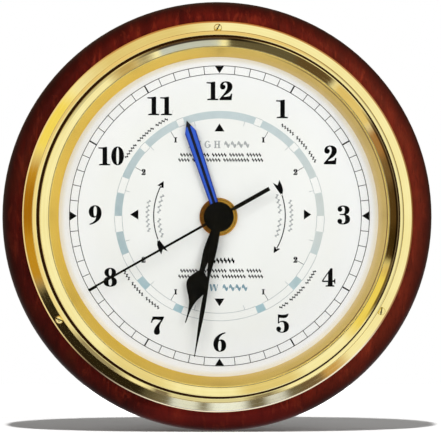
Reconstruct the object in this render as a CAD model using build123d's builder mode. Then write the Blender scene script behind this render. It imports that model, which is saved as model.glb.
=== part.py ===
from build123d import *
import math
import os

os.makedirs("parts", exist_ok=True)

# A round wall clock that shows the time and the tide: a mahogany plaque, a brass case with a
# pull-off bezel, four hands on one centre and a quartz movement behind the dial.
# Lengths are in millimetres. X is the viewer's right, Z is up, and the wall is the plane Y = 0.
# A depth is a distance in front of the wall, towards -Y. Angles of hands run clockwise from 12.

# Clearances and cuts
overrun = 1.0
running_clearance = 0.05
push_clearance = 0.01
loose_clearance = 0.2

# Plaque
plaque_margin = 10.0
plaque_thickness = 18.0
plaque_round_over = 9.0
plaque_chamfer = 0.8
plaque_hole_radius = 56.0

# Case
flange_width = 8.9
flange_thickness = 1.5
flange_edge_radius = 1.2
flange_rise = 0.5
case_wall_radius = 92.2
case_wall_thickness = 1.0
case_height = 19.7
dial_ledge_width = 4.7
dial_ledge_thickness = 1.0
dial_ledge_height = 11.2

# Dial and the satin cone around it
dial_thickness = 0.8
cone_rim_width = 4.7
cone_fall_width = 4.9
cone_sheet = 0.8

# Bezel
bezel_skirt_wall = 1.95
bezel_face_wall = 0.65
bezel_bead_rise = 2.1
bezel_bead_height = 6.0
bezel_bead_start = 1.9
bezel_skirt_gap = 0.3
bezel_groove_width = 0.95
bezel_groove_depth = 1.3
bezel_shoulder_radius = 1.0
bezel_lip_width = 4.35
bezel_lip_thickness = 0.9
bezel_crest_height = 1.6

# Glass and what seats it
glass_thickness = 2.3
glass_chamfer = 0.3
glass_edge_gap = 0.3
gasket_thickness = 0.4
gasket_width = 3.4
retainer_thickness = 0.8
retainer_width = 2.6
retainer_gap_angle = 8

# Flange screws
flange_screw_angles = (0, 120, 237)
flange_screw_inset = 3.4
flange_screw_head_radius = 2.1
flange_screw_head_height = 1.5
flange_screw_shank_radius = 1.3
flange_screw_length = 12.0
slot_width = 0.6
slot_depth = 0.6

# Keyhole hanger
hanger_inset = 27.1
hanger_width = 38.0
hanger_tall = 20.0
hanger_thickness = 1.2
hanger_entry_radius = 4.5
hanger_slot_radius = 2.2
hanger_slot_length = 8.0
hanger_entry_drop = 4.0
hanger_pocket_radius = 6.5
hanger_pocket_depth = 8.0
hanger_screw_spread = 26.0
hanger_screw_head_radius = 2.6
hanger_screw_shank_radius = 1.4
hanger_screw_length = 9.0

# Movement case
movement_depth = 16.5
movement_front_wall = 1.5
movement_wall = 1.2
movement_corner_radius = 2.0
train_room_below = 19.2
rear_cover_thickness = 1.2
train_plate_thickness = 0.5
train_plate_from_front = 5.3
boss_radius = 2.2
boss_inset = 2.8
cover_screw_radius = 0.9
cover_screw_head_radius = 1.7
cover_screw_head_height = 1.0
cover_screw_length = 13.0
washer_thickness = 0.5
washer_radius = 9.0
bushing_radius = 5.0
bushing_wall = 1.45
bushing_stand = 1.9
dial_nut_radius = 9.84
dial_nut_thickness = 1.5
dial_nut_chamfer = 0.5

# Battery and contacts
battery_radius = 7.25
battery_length = 50.5
battery_nub_radius = 2.7
battery_nub_length = 1.2
battery_edge_radius = 0.6
battery_room = 0.25
contact_sheet = 0.4
contact_size = 8.0
contact_spring_room = 2.7

# Tubes on the centre, from the inside out
arbor_radius = 0.6
cannon_radius = 1.6
hour_tube_radius = 2.5
tide_tube_radius = bushing_radius - bushing_wall - running_clearance

# Hands
hand_gap = 1.0
tide_hand_angle = -18.4
hour_hand_angle = 197.5
minute_hand_angle = 189.9
second_hand_angle = 240.7
tide_hand_from_cone = 30.1
tide_hand_point = 6.5
tide_hand_hub_width = 4.1
tide_hand_width = 6.0
tide_hand_thickness = 0.4
tide_hub_radius = 5.4
hour_hand_from_cone = 25.3
hour_hand_width = 11.5
hour_hand_thickness = 0.4
hour_boss_radius = 7.7
hour_boss_thickness = 0.6
minute_hand_from_cone = 9.2
minute_hand_width = 4.0
minute_hand_thickness = 0.3
minute_hub_radius = 4.2
second_hand_from_cone = 5.3
second_hand_thickness = 0.25
second_hand_root_width = 1.3
second_hand_tip_width = 1.05
second_tail_length = 29.9
second_tail_neck = 8.0
second_tail_width = 2.1
second_hub_radius = 2.3
second_cap_radius = 1.3
collet_wall = 0.7
collet_height = 1.0
tube_stand = 0.2

# Points along a blade and its half width, as shares of the hand's length and half its width
hour_leaf_shares = ((0, 0.28), (0.17, 0.33), (0.344, 0.40), (0.46, 0.26), (0.51, 0.226))
hour_spade_shares = (
    (0.51, 0.226),
    (0.545, 0.55),
    (0.632, 1.0),
    (0.73, 0.66),
    (0.80, 0.30),
    (0.86, 0.15),
    (1.0, 0.05),
)
minute_leaf_shares = ((0, 0.5), (0.21, 1.0), (0.353, 0.65), (0.43, 0.35))
minute_blade_shares = ((0.43, 0.35), (0.54, 0.5), (0.635, 0.6), (0.80, 0.42), (1.0, 0.10))

# Gear teeth, as shares of the module or of the pitch
addendum_share = 0.7
dedendum_share = 1.05
tooth_root_share = 0.52
tooth_pitch_share = 0.36
tooth_tip_share = 0.16

# Gears: teeth and modules of each mesh
rotor_teeth = 8
intermediate_teeth = 48
intermediate_pinion_teeth = 8
seconds_teeth = 40
rotor_module = 0.25
seconds_module = 0.3
seconds_pinion_teeth = 8
third_teeth = 60
third_module = 0.25
third_pinion_teeth = 8
centre_teeth = 64
centre_module = third_module * (seconds_pinion_teeth + third_teeth) / (third_pinion_teeth + centre_teeth)
cannon_teeth = 12
motion_teeth = 36
motion_module = 0.4
motion_pinion_teeth = 10
hour_teeth = 40
hour_module = motion_module * (cannon_teeth + motion_teeth) / (motion_pinion_teeth + hour_teeth)
hour_drive_teeth = 57
idler_teeth = 20
idler_module = 0.35
tide_teeth = 59
tide_module = idler_module * (hour_drive_teeth + idler_teeth) / (tide_teeth + idler_teeth)
knob_teeth = 14

# Where the arbors stand around the centre, counter-clockwise from the viewer's right
intermediate_direction = 90
rotor_direction = 60
third_direction = 150
motion_direction = -90
knob_direction = 160
idler_direction = 0

# Gear faces and their gaps, by layer
wheel_thickness = 0.6
thick_wheel = 0.8
layer_gap = 0.6
pinion_overlap = 0.2
train_post_radius = 0.5
third_post_radius = 0.35
motion_post_radius = 0.8
knob_shaft_radius = 1.5
knob_radius = 6.5
knob_thickness = 3.0
knob_gap = 0.4
knob_flutes = 18
knob_flute_radius = 0.6
bearing_radius = 1.3
bearing_height = 1.4

# Electric drive
magnet_radius = 3.0
magnet_length = 2.2
stator_bore_gap = 0.4
stator_thickness = 0.8
stator_stand = 1.8
stator_bar_width = 9.0
stator_leg_width = 4.0
stator_board_gap = 3.5
stator_boss_gap = 1.3
stator_post_radius = 1.5
core_gap = 3.8
core_headroom = 3.8
core_width = 3.0
bobbin_flange_radius = 2.8
bobbin_flange_thickness = 0.8
bobbin_tube_radius = 2.0
winding_radius = 2.6
bobbin_margin = 1.0
board_from_centre = 16.0
board_length = 28.0
board_thickness = 0.8
board_margin = 0.8
chip_size = 5.0
chip_height = 1.0
chip_raise = 5.0
crystal_radius = 1.0
crystal_length = 6.0

# Radii and lengths that follow from the case's wall
flange_radius = case_wall_radius + flange_width
flange_screw_ring_radius = flange_radius - flange_screw_inset
plaque_radius = flange_radius + plaque_margin
hanger_height = plaque_radius - hanger_inset
dial_radius = case_wall_radius - case_wall_thickness - loose_clearance
cone_top_radius = case_wall_radius - cone_rim_width
dial_opening_radius = cone_top_radius - cone_fall_width
bezel_bore = case_wall_radius + running_clearance
bezel_skirt_radius = bezel_bore + bezel_skirt_wall
bezel_bead_radius = bezel_skirt_radius + bezel_bead_rise
bezel_face_radius = bezel_bore + bezel_face_wall
bezel_lip_radius = bezel_bore - bezel_lip_width
tide_hand_length = dial_opening_radius - tide_hand_from_cone
tide_hand_shoulder = tide_hand_length - tide_hand_point
hour_hand_length = dial_opening_radius - hour_hand_from_cone
minute_hand_length = dial_opening_radius - minute_hand_from_cone
second_hand_length = dial_opening_radius - second_hand_from_cone

# Depths in front of the wall
flange_front = plaque_thickness + flange_thickness
flange_root = flange_front + flange_rise
dial_back = plaque_thickness + dial_ledge_height
dial_front = dial_back + dial_thickness
case_top = plaque_thickness + case_height
cone_top = case_top + cone_sheet
glass_back = cone_top + retainer_thickness
glass_front = glass_back + glass_thickness
lip_back = glass_front + gasket_thickness
lip_front = lip_back + bezel_lip_thickness
bezel_crest = lip_back + bezel_crest_height
movement_front = dial_back - washer_thickness
front_wall_back = movement_front - movement_front_wall
movement_back = movement_front - movement_depth
rear_cover_back = movement_back - rear_cover_thickness
train_plate_front = front_wall_back - train_plate_from_front
train_plate_back = train_plate_front - train_plate_thickness
bushing_front = dial_front + bushing_stand

# Depths of the gear layers, each the back face of a wheel
tide_wheel_back = front_wall_back - push_clearance - loose_clearance - thick_wheel
hour_drive_back = tide_wheel_back - layer_gap - thick_wheel
hour_gear_back = hour_drive_back - loose_clearance - thick_wheel
motion_wheel_back = hour_gear_back - layer_gap - thick_wheel
centre_wheel_back = train_plate_back - loose_clearance - wheel_thickness
third_wheel_back = centre_wheel_back - layer_gap - 2 * wheel_thickness
seconds_wheel_back = third_wheel_back - 2 * layer_gap - wheel_thickness
intermediate_back = seconds_wheel_back - layer_gap - wheel_thickness
stator_back = movement_back + stator_stand
stator_front = stator_back + stator_thickness

# Depths of the hands, each the back face of a blade
tide_hand_back = bushing_front + hand_gap / 2
hour_hand_back = tide_hand_back + tide_hand_thickness + hand_gap
minute_hand_back = hour_hand_back + hour_boss_thickness + hand_gap
second_hand_back = minute_hand_back + minute_hand_thickness + hand_gap


def facing(depth, x=0, z=0, clockwise=0):
    """A plane that faces the viewer at a depth, turned clockwise about the point (x, z)."""
    angle = math.radians(clockwise)
    return Plane(
        origin=(x, -depth, z),
        x_dir=(math.cos(angle), 0, -math.sin(angle)),
        z_dir=(0, -1, 0),
    )


def half_plane(x=0, z=0):
    """The plane of a half section about the axis through (x, z): radius across, depth up."""
    return Plane(origin=(x, 0, z), x_dir=(1, 0, 0), z_dir=(0, 0, -1))


def axis_at(x=0, z=0):
    return Axis((x, 0, z), (0, -1, 0))


def half_section(points, x=0, z=0):
    with BuildSketch(half_plane(x, z)) as section:
        with BuildLine():
            Polyline(*points, close=True)
        make_face()
    return section.sketch


def ring_section(inner, outer, back, front, x=0, z=0):
    return half_section(((inner, back), (outer, back), (outer, front), (inner, front)), x, z)


def polar(radius, degrees):
    return radius * math.cos(math.radians(degrees)), radius * math.sin(math.radians(degrees))


def beside(centre, radius, degrees):
    dx, dz = polar(radius, degrees)
    return centre[0] + dx, centre[1] + dz


def centre_distance(teeth_a, teeth_b, module):
    return (teeth_a + teeth_b) * module / 2


def meshing_phase(phase, teeth, direction, mate_teeth):
    """The angle of a tooth of the mate, so that its gap faces the first gear's tooth."""
    turned_by = (phase - direction) * teeth / 360
    return direction + 180 + (0.5 - turned_by) * 360 / mate_teeth


def gear_face(plane, teeth, module, phase, bore):
    pitch_radius = teeth * module / 2
    pitch_angle = 360 / teeth
    rings = (
        (pitch_radius - dedendum_share * module, -tooth_root_share / 2),
        (pitch_radius, -tooth_pitch_share / 2),
        (pitch_radius + addendum_share * module, -tooth_tip_share / 2),
        (pitch_radius + addendum_share * module, tooth_tip_share / 2),
        (pitch_radius, tooth_pitch_share / 2),
        (pitch_radius - dedendum_share * module, tooth_root_share / 2),
    )
    points = []
    for tooth in range(teeth):
        for radius, share in rings:
            points.append(polar(radius, phase + (tooth + share) * pitch_angle))
    with BuildSketch(plane) as face:
        with BuildLine():
            Polyline(*points, close=True)
        make_face()
        Circle(bore, mode=Mode.SUBTRACT)
    return face.sketch


def scaled(shares, length, half_width, side):
    return [(side * half_width * across, length * along) for along, across in shares]


def blade_face(plane, stretches, length, half_width):
    """A blade that points up its plane: smooth stretches on each side, square at root and tip."""
    first = stretches[0][0]
    last = stretches[-1][-1]
    with BuildSketch(plane) as blade:
        with BuildLine():
            for side in (-1, 1):
                for shares in stretches:
                    Spline(*scaled(shares, length, half_width, side))
            for share in (first, last):
                Line(scaled([share], length, half_width, -1)[0], scaled([share], length, half_width, 1)[0])
        make_face()
    return blade.sketch


# Centres of the arbors
intermediate_at = beside(
    (0, 0), centre_distance(intermediate_pinion_teeth, seconds_teeth, seconds_module), intermediate_direction
)
rotor_at = beside(
    intermediate_at, centre_distance(rotor_teeth, intermediate_teeth, rotor_module), rotor_direction
)
third_at = beside(
    (0, 0), centre_distance(seconds_pinion_teeth, third_teeth, third_module), third_direction
)
motion_at = beside((0, 0), centre_distance(cannon_teeth, motion_teeth, motion_module), motion_direction)
knob_at = beside(motion_at, centre_distance(motion_teeth, knob_teeth, motion_module), knob_direction)
idler_at = beside(
    (0, 0), centre_distance(hour_drive_teeth, idler_teeth, idler_module), idler_direction
)

# Angles of the gears, so that teeth meet gaps in every mesh
seconds_phase = 0
intermediate_pinion_phase = meshing_phase(
    seconds_phase, seconds_teeth, intermediate_direction, intermediate_pinion_teeth
)
intermediate_phase = 0
rotor_phase = meshing_phase(intermediate_phase, intermediate_teeth, rotor_direction, rotor_teeth)
seconds_pinion_phase = 0
third_phase = meshing_phase(seconds_pinion_phase, seconds_pinion_teeth, third_direction, third_teeth)
centre_phase = 0
third_pinion_phase = meshing_phase(centre_phase, centre_teeth, third_direction, third_pinion_teeth)
cannon_phase = 0
motion_phase = meshing_phase(cannon_phase, cannon_teeth, motion_direction, motion_teeth)
knob_phase = meshing_phase(motion_phase, motion_teeth, knob_direction, knob_teeth)
hour_phase = 0
motion_pinion_phase = meshing_phase(hour_phase, hour_teeth, motion_direction, motion_pinion_teeth)
hour_drive_phase = 0
idler_hour_phase = meshing_phase(hour_drive_phase, hour_drive_teeth, idler_direction, idler_teeth)
tide_phase = 0
idler_tide_phase = meshing_phase(tide_phase, tide_teeth, idler_direction, idler_teeth)

# Outline of the movement's case: as wide as the battery needs and as high as the coil needs
movement_width = battery_length + contact_spring_room + contact_sheet + 2 * movement_wall
half_movement = movement_width / 2
inner_half = half_movement - movement_wall
rotor_reach = centre_distance(rotor_teeth, intermediate_teeth, rotor_module)
core_height = intermediate_at[1] + rotor_reach + stator_bar_width / 2 + core_gap
train_top = core_height + core_headroom
movement_top = train_top + movement_wall
battery_height = -(train_room_below + movement_wall + battery_room + battery_radius)
battery_chamber_top = -(train_room_below + movement_wall)
battery_chamber_bottom = battery_height - battery_radius - battery_room
movement_bottom = battery_chamber_bottom - movement_wall
battery_depth = movement_back + battery_radius
boss_places = [
    (side * (inner_half - boss_inset), height)
    for side in (-1, 1)
    for height in (train_top - boss_inset, boss_inset - train_room_below)
]

# How far the board and the stator reach to each side
board_width = inner_half - board_margin - board_from_centre
stator_left = board_from_centre - stator_board_gap
stator_right = inner_half - boss_inset - boss_radius - stator_boss_gap

# Wooden plaque
with BuildPart() as wood_base:
    with BuildSketch(half_plane()):
        with BuildLine():
            round_start = (plaque_radius, plaque_thickness - plaque_round_over)
            round_end = (plaque_radius - plaque_round_over, plaque_thickness)
            Polyline(
                round_end,
                (plaque_hole_radius, plaque_thickness),
                (plaque_hole_radius, 0),
                (plaque_radius - plaque_chamfer, 0),
                (plaque_radius, plaque_chamfer),
                round_start,
            )
            CenterArc((round_end[0], round_start[1]), plaque_round_over, 0, 90)
        make_face()
    revolve(axis=axis_at())
    with BuildSketch(facing(plaque_thickness)):
        for angle in flange_screw_angles:
            with Locations(polar(flange_screw_ring_radius, 90 - angle)):
                Circle(flange_screw_shank_radius + push_clearance)
    extrude(amount=-(flange_screw_length - flange_thickness + overrun), mode=Mode.SUBTRACT)
    with BuildSketch(facing(0)):
        with Locations((0, hanger_height)):
            RectangleRounded(
                hanger_width + 2 * loose_clearance, hanger_tall + 2 * loose_clearance, hanger_slot_radius
            )
    extrude(amount=hanger_thickness, mode=Mode.SUBTRACT)
    with BuildSketch(facing(hanger_thickness)):
        with Locations((0, hanger_height - hanger_entry_drop + hanger_slot_length / 2)):
            SlotCenterToCenter(hanger_slot_length, 2 * hanger_pocket_radius, rotation=90)
    extrude(amount=hanger_pocket_depth, mode=Mode.SUBTRACT)
    with BuildSketch(facing(hanger_thickness)):
        with Locations((0, hanger_height)):
            with GridLocations(hanger_screw_spread, 0, 2, 1):
                Circle(hanger_screw_shank_radius + push_clearance)
    extrude(amount=hanger_screw_length + overrun, mode=Mode.SUBTRACT)
wood_base.part.label = "wood_base"
export_step(wood_base.part, "parts/wood_base.step")

# Keyhole hanger let into the back
with BuildPart() as hanger_plate:
    with BuildSketch(facing(0)):
        with Locations((0, hanger_height)):
            RectangleRounded(hanger_width, hanger_tall, hanger_slot_radius)
        with Locations((0, hanger_height - hanger_entry_drop)):
            Circle(hanger_entry_radius, mode=Mode.SUBTRACT)
        with Locations((0, hanger_height - hanger_entry_drop + hanger_slot_length / 2)):
            SlotCenterToCenter(
                hanger_slot_length, 2 * hanger_slot_radius, rotation=90, mode=Mode.SUBTRACT
            )
    extrude(amount=hanger_thickness)
    with Locations(facing(0, 0, hanger_height)):
        with GridLocations(hanger_screw_spread, 0, 2, 1):
            Cone(
                hanger_screw_head_radius + push_clearance,
                hanger_screw_shank_radius + push_clearance,
                hanger_thickness,
                align=(Align.CENTER, Align.CENTER, Align.MIN),
                mode=Mode.SUBTRACT,
            )
hanger_plate.part.label = "hanger_plate"
export_step(hanger_plate.part, "parts/hanger_plate.step")

with BuildPart() as hanger_screws:
    for side in (-1, 1):
        screw_x = side * hanger_screw_spread / 2
        revolve(
            half_section(
                (
                    (0, 0),
                    (hanger_screw_head_radius, 0),
                    (hanger_screw_shank_radius, hanger_thickness),
                    (hanger_screw_shank_radius, hanger_screw_length - hanger_screw_shank_radius),
                    (0, hanger_screw_length),
                ),
                screw_x,
                hanger_height,
            ),
            axis=axis_at(screw_x, hanger_height),
        )
    with BuildSketch(facing(0, 0, hanger_height)):
        with GridLocations(hanger_screw_spread, 0, 2, 1):
            Rectangle(2 * hanger_screw_head_radius, slot_width)
    extrude(amount=slot_depth, mode=Mode.SUBTRACT)
hanger_screws.part.label = "hanger_screws"
export_step(hanger_screws.part, "parts/hanger_screws.step")

# Brass case: flange, wall and dial ledge in one spun piece
with BuildPart() as case_shell:
    with BuildSketch(half_plane()):
        with BuildLine():
            inner_wall = case_wall_radius - case_wall_thickness
            ledge_inner = inner_wall - dial_ledge_width
            lip_corner = (flange_radius - flange_edge_radius, flange_front - flange_edge_radius)
            Polyline(
                (lip_corner[0], flange_front),
                (case_wall_radius, flange_root),
                (case_wall_radius, case_top),
                (inner_wall, case_top),
                (inner_wall, dial_back),
                (ledge_inner, dial_back),
                (ledge_inner, dial_back - dial_ledge_thickness),
                (inner_wall, dial_back - dial_ledge_thickness),
                (inner_wall, plaque_thickness),
                (flange_radius, plaque_thickness),
                (flange_radius, lip_corner[1]),
            )
            CenterArc(lip_corner, flange_edge_radius, 0, 90)
        make_face()
    revolve(axis=axis_at())
    with BuildSketch(facing(plaque_thickness)):
        for angle in flange_screw_angles:
            with Locations(polar(flange_screw_ring_radius, 90 - angle)):
                Circle(flange_screw_shank_radius + push_clearance)
    extrude(amount=flange_thickness + flange_rise, mode=Mode.SUBTRACT)
case_shell.part.label = "case_shell"
export_step(case_shell.part, "parts/case_shell.step")

# Round head screws that hold the flange to the plaque, each head at the height of the slope's rise under it
flange_slope = flange_rise / (flange_radius - flange_edge_radius - case_wall_radius)
head_reach = flange_radius - flange_edge_radius - flange_screw_ring_radius + flange_screw_head_radius
head_seat = flange_slope * head_reach
with BuildPart() as flange_screws:
    for angle in flange_screw_angles:
        screw_x, screw_z = polar(flange_screw_ring_radius, 90 - angle)
        with BuildSketch(half_plane(screw_x, screw_z)):
            with BuildLine():
                head_back = flange_front + head_seat
                head_front = head_back + flange_screw_head_height
                head_side = head_back + flange_screw_head_height / 4
                screw_tip = flange_front - flange_screw_length
                Polyline(
                    (0, head_front),
                    (0, screw_tip),
                    (flange_screw_shank_radius, screw_tip + flange_screw_shank_radius),
                    (flange_screw_shank_radius, head_back),
                    (flange_screw_head_radius, head_back),
                    (flange_screw_head_radius, head_side),
                )
                Spline(
                    (flange_screw_head_radius, head_side),
                    (0, head_front),
                    tangents=((0, 1), (-1, 0)),
                )
            make_face()
        revolve(axis=axis_at(screw_x, screw_z))
    for angle in flange_screw_angles:
        screw_x, screw_z = polar(flange_screw_ring_radius, 90 - angle)
        with BuildSketch(facing(head_front, screw_x, screw_z)):
            Rectangle(2 * flange_screw_head_radius, slot_width, rotation=-angle)
        extrude(amount=-slot_depth, mode=Mode.SUBTRACT)
flange_screws.part.label = "flange_screws"
export_step(flange_screws.part, "parts/flange_screws.step")

# Bezel: skirt with a bead, a groove, and a domed face whose lip holds the glass
bead_back = flange_root + bezel_bead_start
bead_front = bead_back + bezel_bead_height
groove_outer = bezel_face_radius + bezel_groove_width
shoulder_centre = (bezel_face_radius - bezel_shoulder_radius, bezel_crest - bezel_shoulder_radius)
with BuildPart() as bezel_ring:
    with BuildSketch(half_plane()):
        with BuildLine():
            Polyline(
                (shoulder_centre[0], bezel_crest),
                (bezel_lip_radius, lip_front),
                (bezel_lip_radius, lip_back),
                (bezel_bore, lip_back),
                (bezel_bore, flange_root + bezel_skirt_gap),
                (bezel_skirt_radius, flange_root + bezel_skirt_gap),
                (bezel_skirt_radius, bead_back),
            )
            ThreePointArc(
                (bezel_skirt_radius, bead_back),
                (bezel_bead_radius, (bead_back + bead_front) / 2),
                (bezel_skirt_radius, bead_front),
            )
            Polyline(
                (bezel_skirt_radius, bead_front),
                (groove_outer, bead_front),
                (groove_outer, bead_front - bezel_groove_depth),
                (bezel_face_radius, bead_front - bezel_groove_depth),
                (bezel_face_radius, shoulder_centre[1]),
            )
            CenterArc(shoulder_centre, bezel_shoulder_radius, 0, 90)
        make_face()
    revolve(axis=axis_at())
bezel_ring.part.label = "bezel_ring"
export_step(bezel_ring.part, "parts/bezel_ring.step")

glass_radius = bezel_bore - glass_edge_gap
with BuildPart() as glass:
    with BuildSketch(facing(glass_back)):
        Circle(glass_radius)
    extrude(amount=glass_thickness)
    chamfer(glass.edges().filter_by(GeomType.CIRCLE), glass_chamfer)
glass.part.label = "glass"
export_step(glass.part, "parts/glass.step")

with BuildPart() as glass_gasket:
    with BuildSketch(facing(glass_front)):
        Circle(glass_radius - glass_chamfer)
        Circle(glass_radius - glass_chamfer - gasket_width, mode=Mode.SUBTRACT)
    extrude(amount=gasket_thickness)
glass_gasket.part.label = "glass_gasket"
export_step(glass_gasket.part, "parts/glass_gasket.step")

# Split spring ring that keeps the glass in the bezel
retainer_radius = bezel_bore - push_clearance
with BuildPart() as glass_retainer:
    revolve(
        ring_section(retainer_radius - retainer_width, retainer_radius, cone_top, glass_back),
        axis=axis_at(),
        revolution_arc=360 - retainer_gap_angle,
    )
glass_retainer.part.label = "glass_retainer"
export_step(glass_retainer.part, "parts/glass_retainer.step")

# Satin cone between dial and glass, whose rim lies on the case wall
cone_slope = (cone_top_radius - dial_opening_radius) / (cone_top - dial_front)
cone_wall = cone_sheet * math.hypot(1, cone_slope)
with BuildPart() as rehaut_ring:
    revolve(
        half_section(
            (
                (dial_opening_radius, dial_front),
                (cone_top_radius, cone_top),
                (case_wall_radius, cone_top),
                (case_wall_radius, case_top),
                (dial_opening_radius + cone_wall + cone_slope * (case_top - dial_front), case_top),
                (dial_opening_radius + cone_wall, dial_front),
            )
        ),
        axis=axis_at(),
    )
rehaut_ring.part.label = "rehaut_ring"
export_step(rehaut_ring.part, "parts/rehaut_ring.step")

with BuildPart() as dial_plate:
    with BuildSketch(facing(dial_back)):
        Circle(dial_radius)
        Circle(bushing_radius + loose_clearance, mode=Mode.SUBTRACT)
    extrude(amount=dial_thickness)
dial_plate.part.label = "dial_plate"
export_step(dial_plate.part, "parts/dial_plate.step")

# Ring nut, rubber washer and threaded bushing that hold the movement to the dial
with BuildPart() as dial_nut:
    nut_bore = bushing_radius + push_clearance
    nut_front = dial_front + dial_nut_thickness
    revolve(
        half_section(
            (
                (nut_bore, dial_front),
                (dial_nut_radius, dial_front),
                (dial_nut_radius, nut_front - dial_nut_chamfer),
                (dial_nut_radius - dial_nut_chamfer, nut_front),
                (nut_bore, nut_front),
            )
        ),
        axis=axis_at(),
    )
dial_nut.part.label = "dial_nut"
export_step(dial_nut.part, "parts/dial_nut.step")

with BuildPart() as dial_washer:
    with BuildSketch(facing(movement_front)):
        Circle(washer_radius)
        Circle(bushing_radius + push_clearance, mode=Mode.SUBTRACT)
    extrude(amount=washer_thickness)
dial_washer.part.label = "dial_washer"
export_step(dial_washer.part, "parts/dial_washer.step")

with BuildPart() as threaded_bushing:
    with BuildSketch(facing(front_wall_back)):
        Circle(bushing_radius)
        Circle(bushing_radius - bushing_wall, mode=Mode.SUBTRACT)
    extrude(amount=bushing_front - front_wall_back)
threaded_bushing.part.label = "threaded_bushing"
export_step(threaded_bushing.part, "parts/threaded_bushing.step")

# Movement housing: a tray open to the back, with a chamber for the battery below the train
with BuildPart() as movement_housing:
    with BuildSketch(facing(movement_back, 0, (movement_top + movement_bottom) / 2)):
        RectangleRounded(movement_width, movement_top - movement_bottom, movement_corner_radius)
    extrude(amount=movement_depth)
    for room_top, room_bottom in (
        (train_top, -train_room_below),
        (battery_chamber_top, battery_chamber_bottom),
    ):
        with BuildSketch(facing(movement_back, 0, (room_top + room_bottom) / 2)):
            Rectangle(2 * inner_half, room_top - room_bottom)
        extrude(amount=movement_depth - movement_front_wall, mode=Mode.SUBTRACT)
    with BuildSketch(facing(train_plate_front)):
        with Locations(*boss_places):
            Circle(boss_radius)
            Circle(cover_screw_radius + push_clearance, mode=Mode.SUBTRACT)
    extrude(amount=train_plate_from_front)
    with BuildSketch(facing(hour_drive_back - loose_clearance)):
        with Locations(idler_at):
            Circle(motion_post_radius)
    extrude(amount=front_wall_back - hour_drive_back + loose_clearance)
    with BuildSketch(facing(front_wall_back)):
        Circle(bushing_radius + push_clearance)
    extrude(amount=movement_front_wall, mode=Mode.SUBTRACT)
movement_housing.part.label = "movement_housing"
export_step(movement_housing.part, "parts/movement_housing.step")

# Rear cover with spacers, posts for the drive wheels and the seconds bearing
cover_bottom = battery_chamber_top
with BuildPart() as rear_cover:
    with BuildSketch(facing(rear_cover_back, 0, (movement_top + cover_bottom) / 2)):
        RectangleRounded(movement_width, movement_top - cover_bottom, movement_corner_radius)
    extrude(amount=rear_cover_thickness)
    with BuildSketch(facing(movement_back)):
        with Locations(*boss_places):
            Circle(boss_radius)
    extrude(amount=train_plate_back - movement_back)
    with BuildSketch(facing(rear_cover_back)):
        with Locations(*boss_places):
            Circle(cover_screw_radius + loose_clearance)
    extrude(amount=train_plate_back - rear_cover_back, mode=Mode.SUBTRACT)
    with BuildSketch(facing(movement_back)):
        Circle(bearing_radius)
    extrude(amount=bearing_height)
    with BuildSketch(facing(movement_back)):
        Circle(arbor_radius + running_clearance)
    extrude(amount=bearing_height, mode=Mode.SUBTRACT)
    with BuildSketch(facing(movement_back)):
        with Locations(intermediate_at):
            Circle(train_post_radius)
    extrude(amount=seconds_wheel_back + wheel_thickness + loose_clearance - movement_back)
    with BuildSketch(facing(movement_back)):
        with Locations(rotor_at):
            Circle(train_post_radius)
    extrude(amount=intermediate_back + wheel_thickness - movement_back)
    with BuildSketch(facing(movement_back)):
        with Locations(
            (stator_leg_width / 2 - stator_left, rotor_at[1]),
            (stator_right - stator_leg_width / 2, rotor_at[1]),
        ):
            Circle(stator_post_radius)
    extrude(amount=stator_stand)
    with BuildSketch(facing(rear_cover_back)):
        with Locations(knob_at):
            Circle(knob_shaft_radius + running_clearance)
    extrude(amount=rear_cover_thickness, mode=Mode.SUBTRACT)
rear_cover.part.label = "rear_cover"
export_step(rear_cover.part, "parts/rear_cover.step")

with BuildPart() as cover_screws:
    for screw_x, screw_z in boss_places:
        revolve(
            half_section(
                (
                    (0, rear_cover_back - cover_screw_head_height),
                    (cover_screw_head_radius, rear_cover_back - cover_screw_head_height),
                    (cover_screw_head_radius, rear_cover_back),
                    (cover_screw_radius, rear_cover_back),
                    (cover_screw_radius, rear_cover_back + cover_screw_length - cover_screw_radius),
                    (0, rear_cover_back + cover_screw_length),
                ),
                screw_x,
                screw_z,
            ),
            axis=axis_at(screw_x, screw_z),
        )
    with BuildSketch(facing(rear_cover_back - cover_screw_head_height)):
        with Locations(*boss_places):
            Rectangle(2 * cover_screw_head_radius, slot_width)
            Rectangle(slot_width, 2 * cover_screw_head_radius)
    extrude(amount=slot_depth, mode=Mode.SUBTRACT)
cover_screws.part.label = "cover_screws"
export_step(cover_screws.part, "parts/cover_screws.step")

# Plate between the going train and the motion work
with BuildPart() as train_plate:
    with BuildSketch(facing(train_plate_back, 0, (train_top - train_room_below) / 2)):
        Rectangle(
            2 * (inner_half - loose_clearance), train_top + train_room_below - 2 * loose_clearance
        )
    extrude(amount=train_plate_thickness)
    with BuildSketch(facing(train_plate_back)):
        with Locations(*boss_places):
            Circle(cover_screw_radius + loose_clearance)
        Circle(cannon_radius + running_clearance)
        with Locations(knob_at):
            Circle(knob_shaft_radius + running_clearance)
    extrude(amount=train_plate_thickness, mode=Mode.SUBTRACT)
    with BuildSketch(facing(train_plate_front)):
        with Locations(motion_at):
            Circle(motion_post_radius)
    extrude(amount=hour_gear_back + thick_wheel - train_plate_front)
    with BuildSketch(facing(train_plate_back)):
        with Locations(third_at):
            Circle(third_post_radius)
    extrude(amount=-(train_plate_back - third_wheel_back + loose_clearance))
train_plate.part.label = "train_plate"
export_step(train_plate.part, "parts/train_plate.step")

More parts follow.
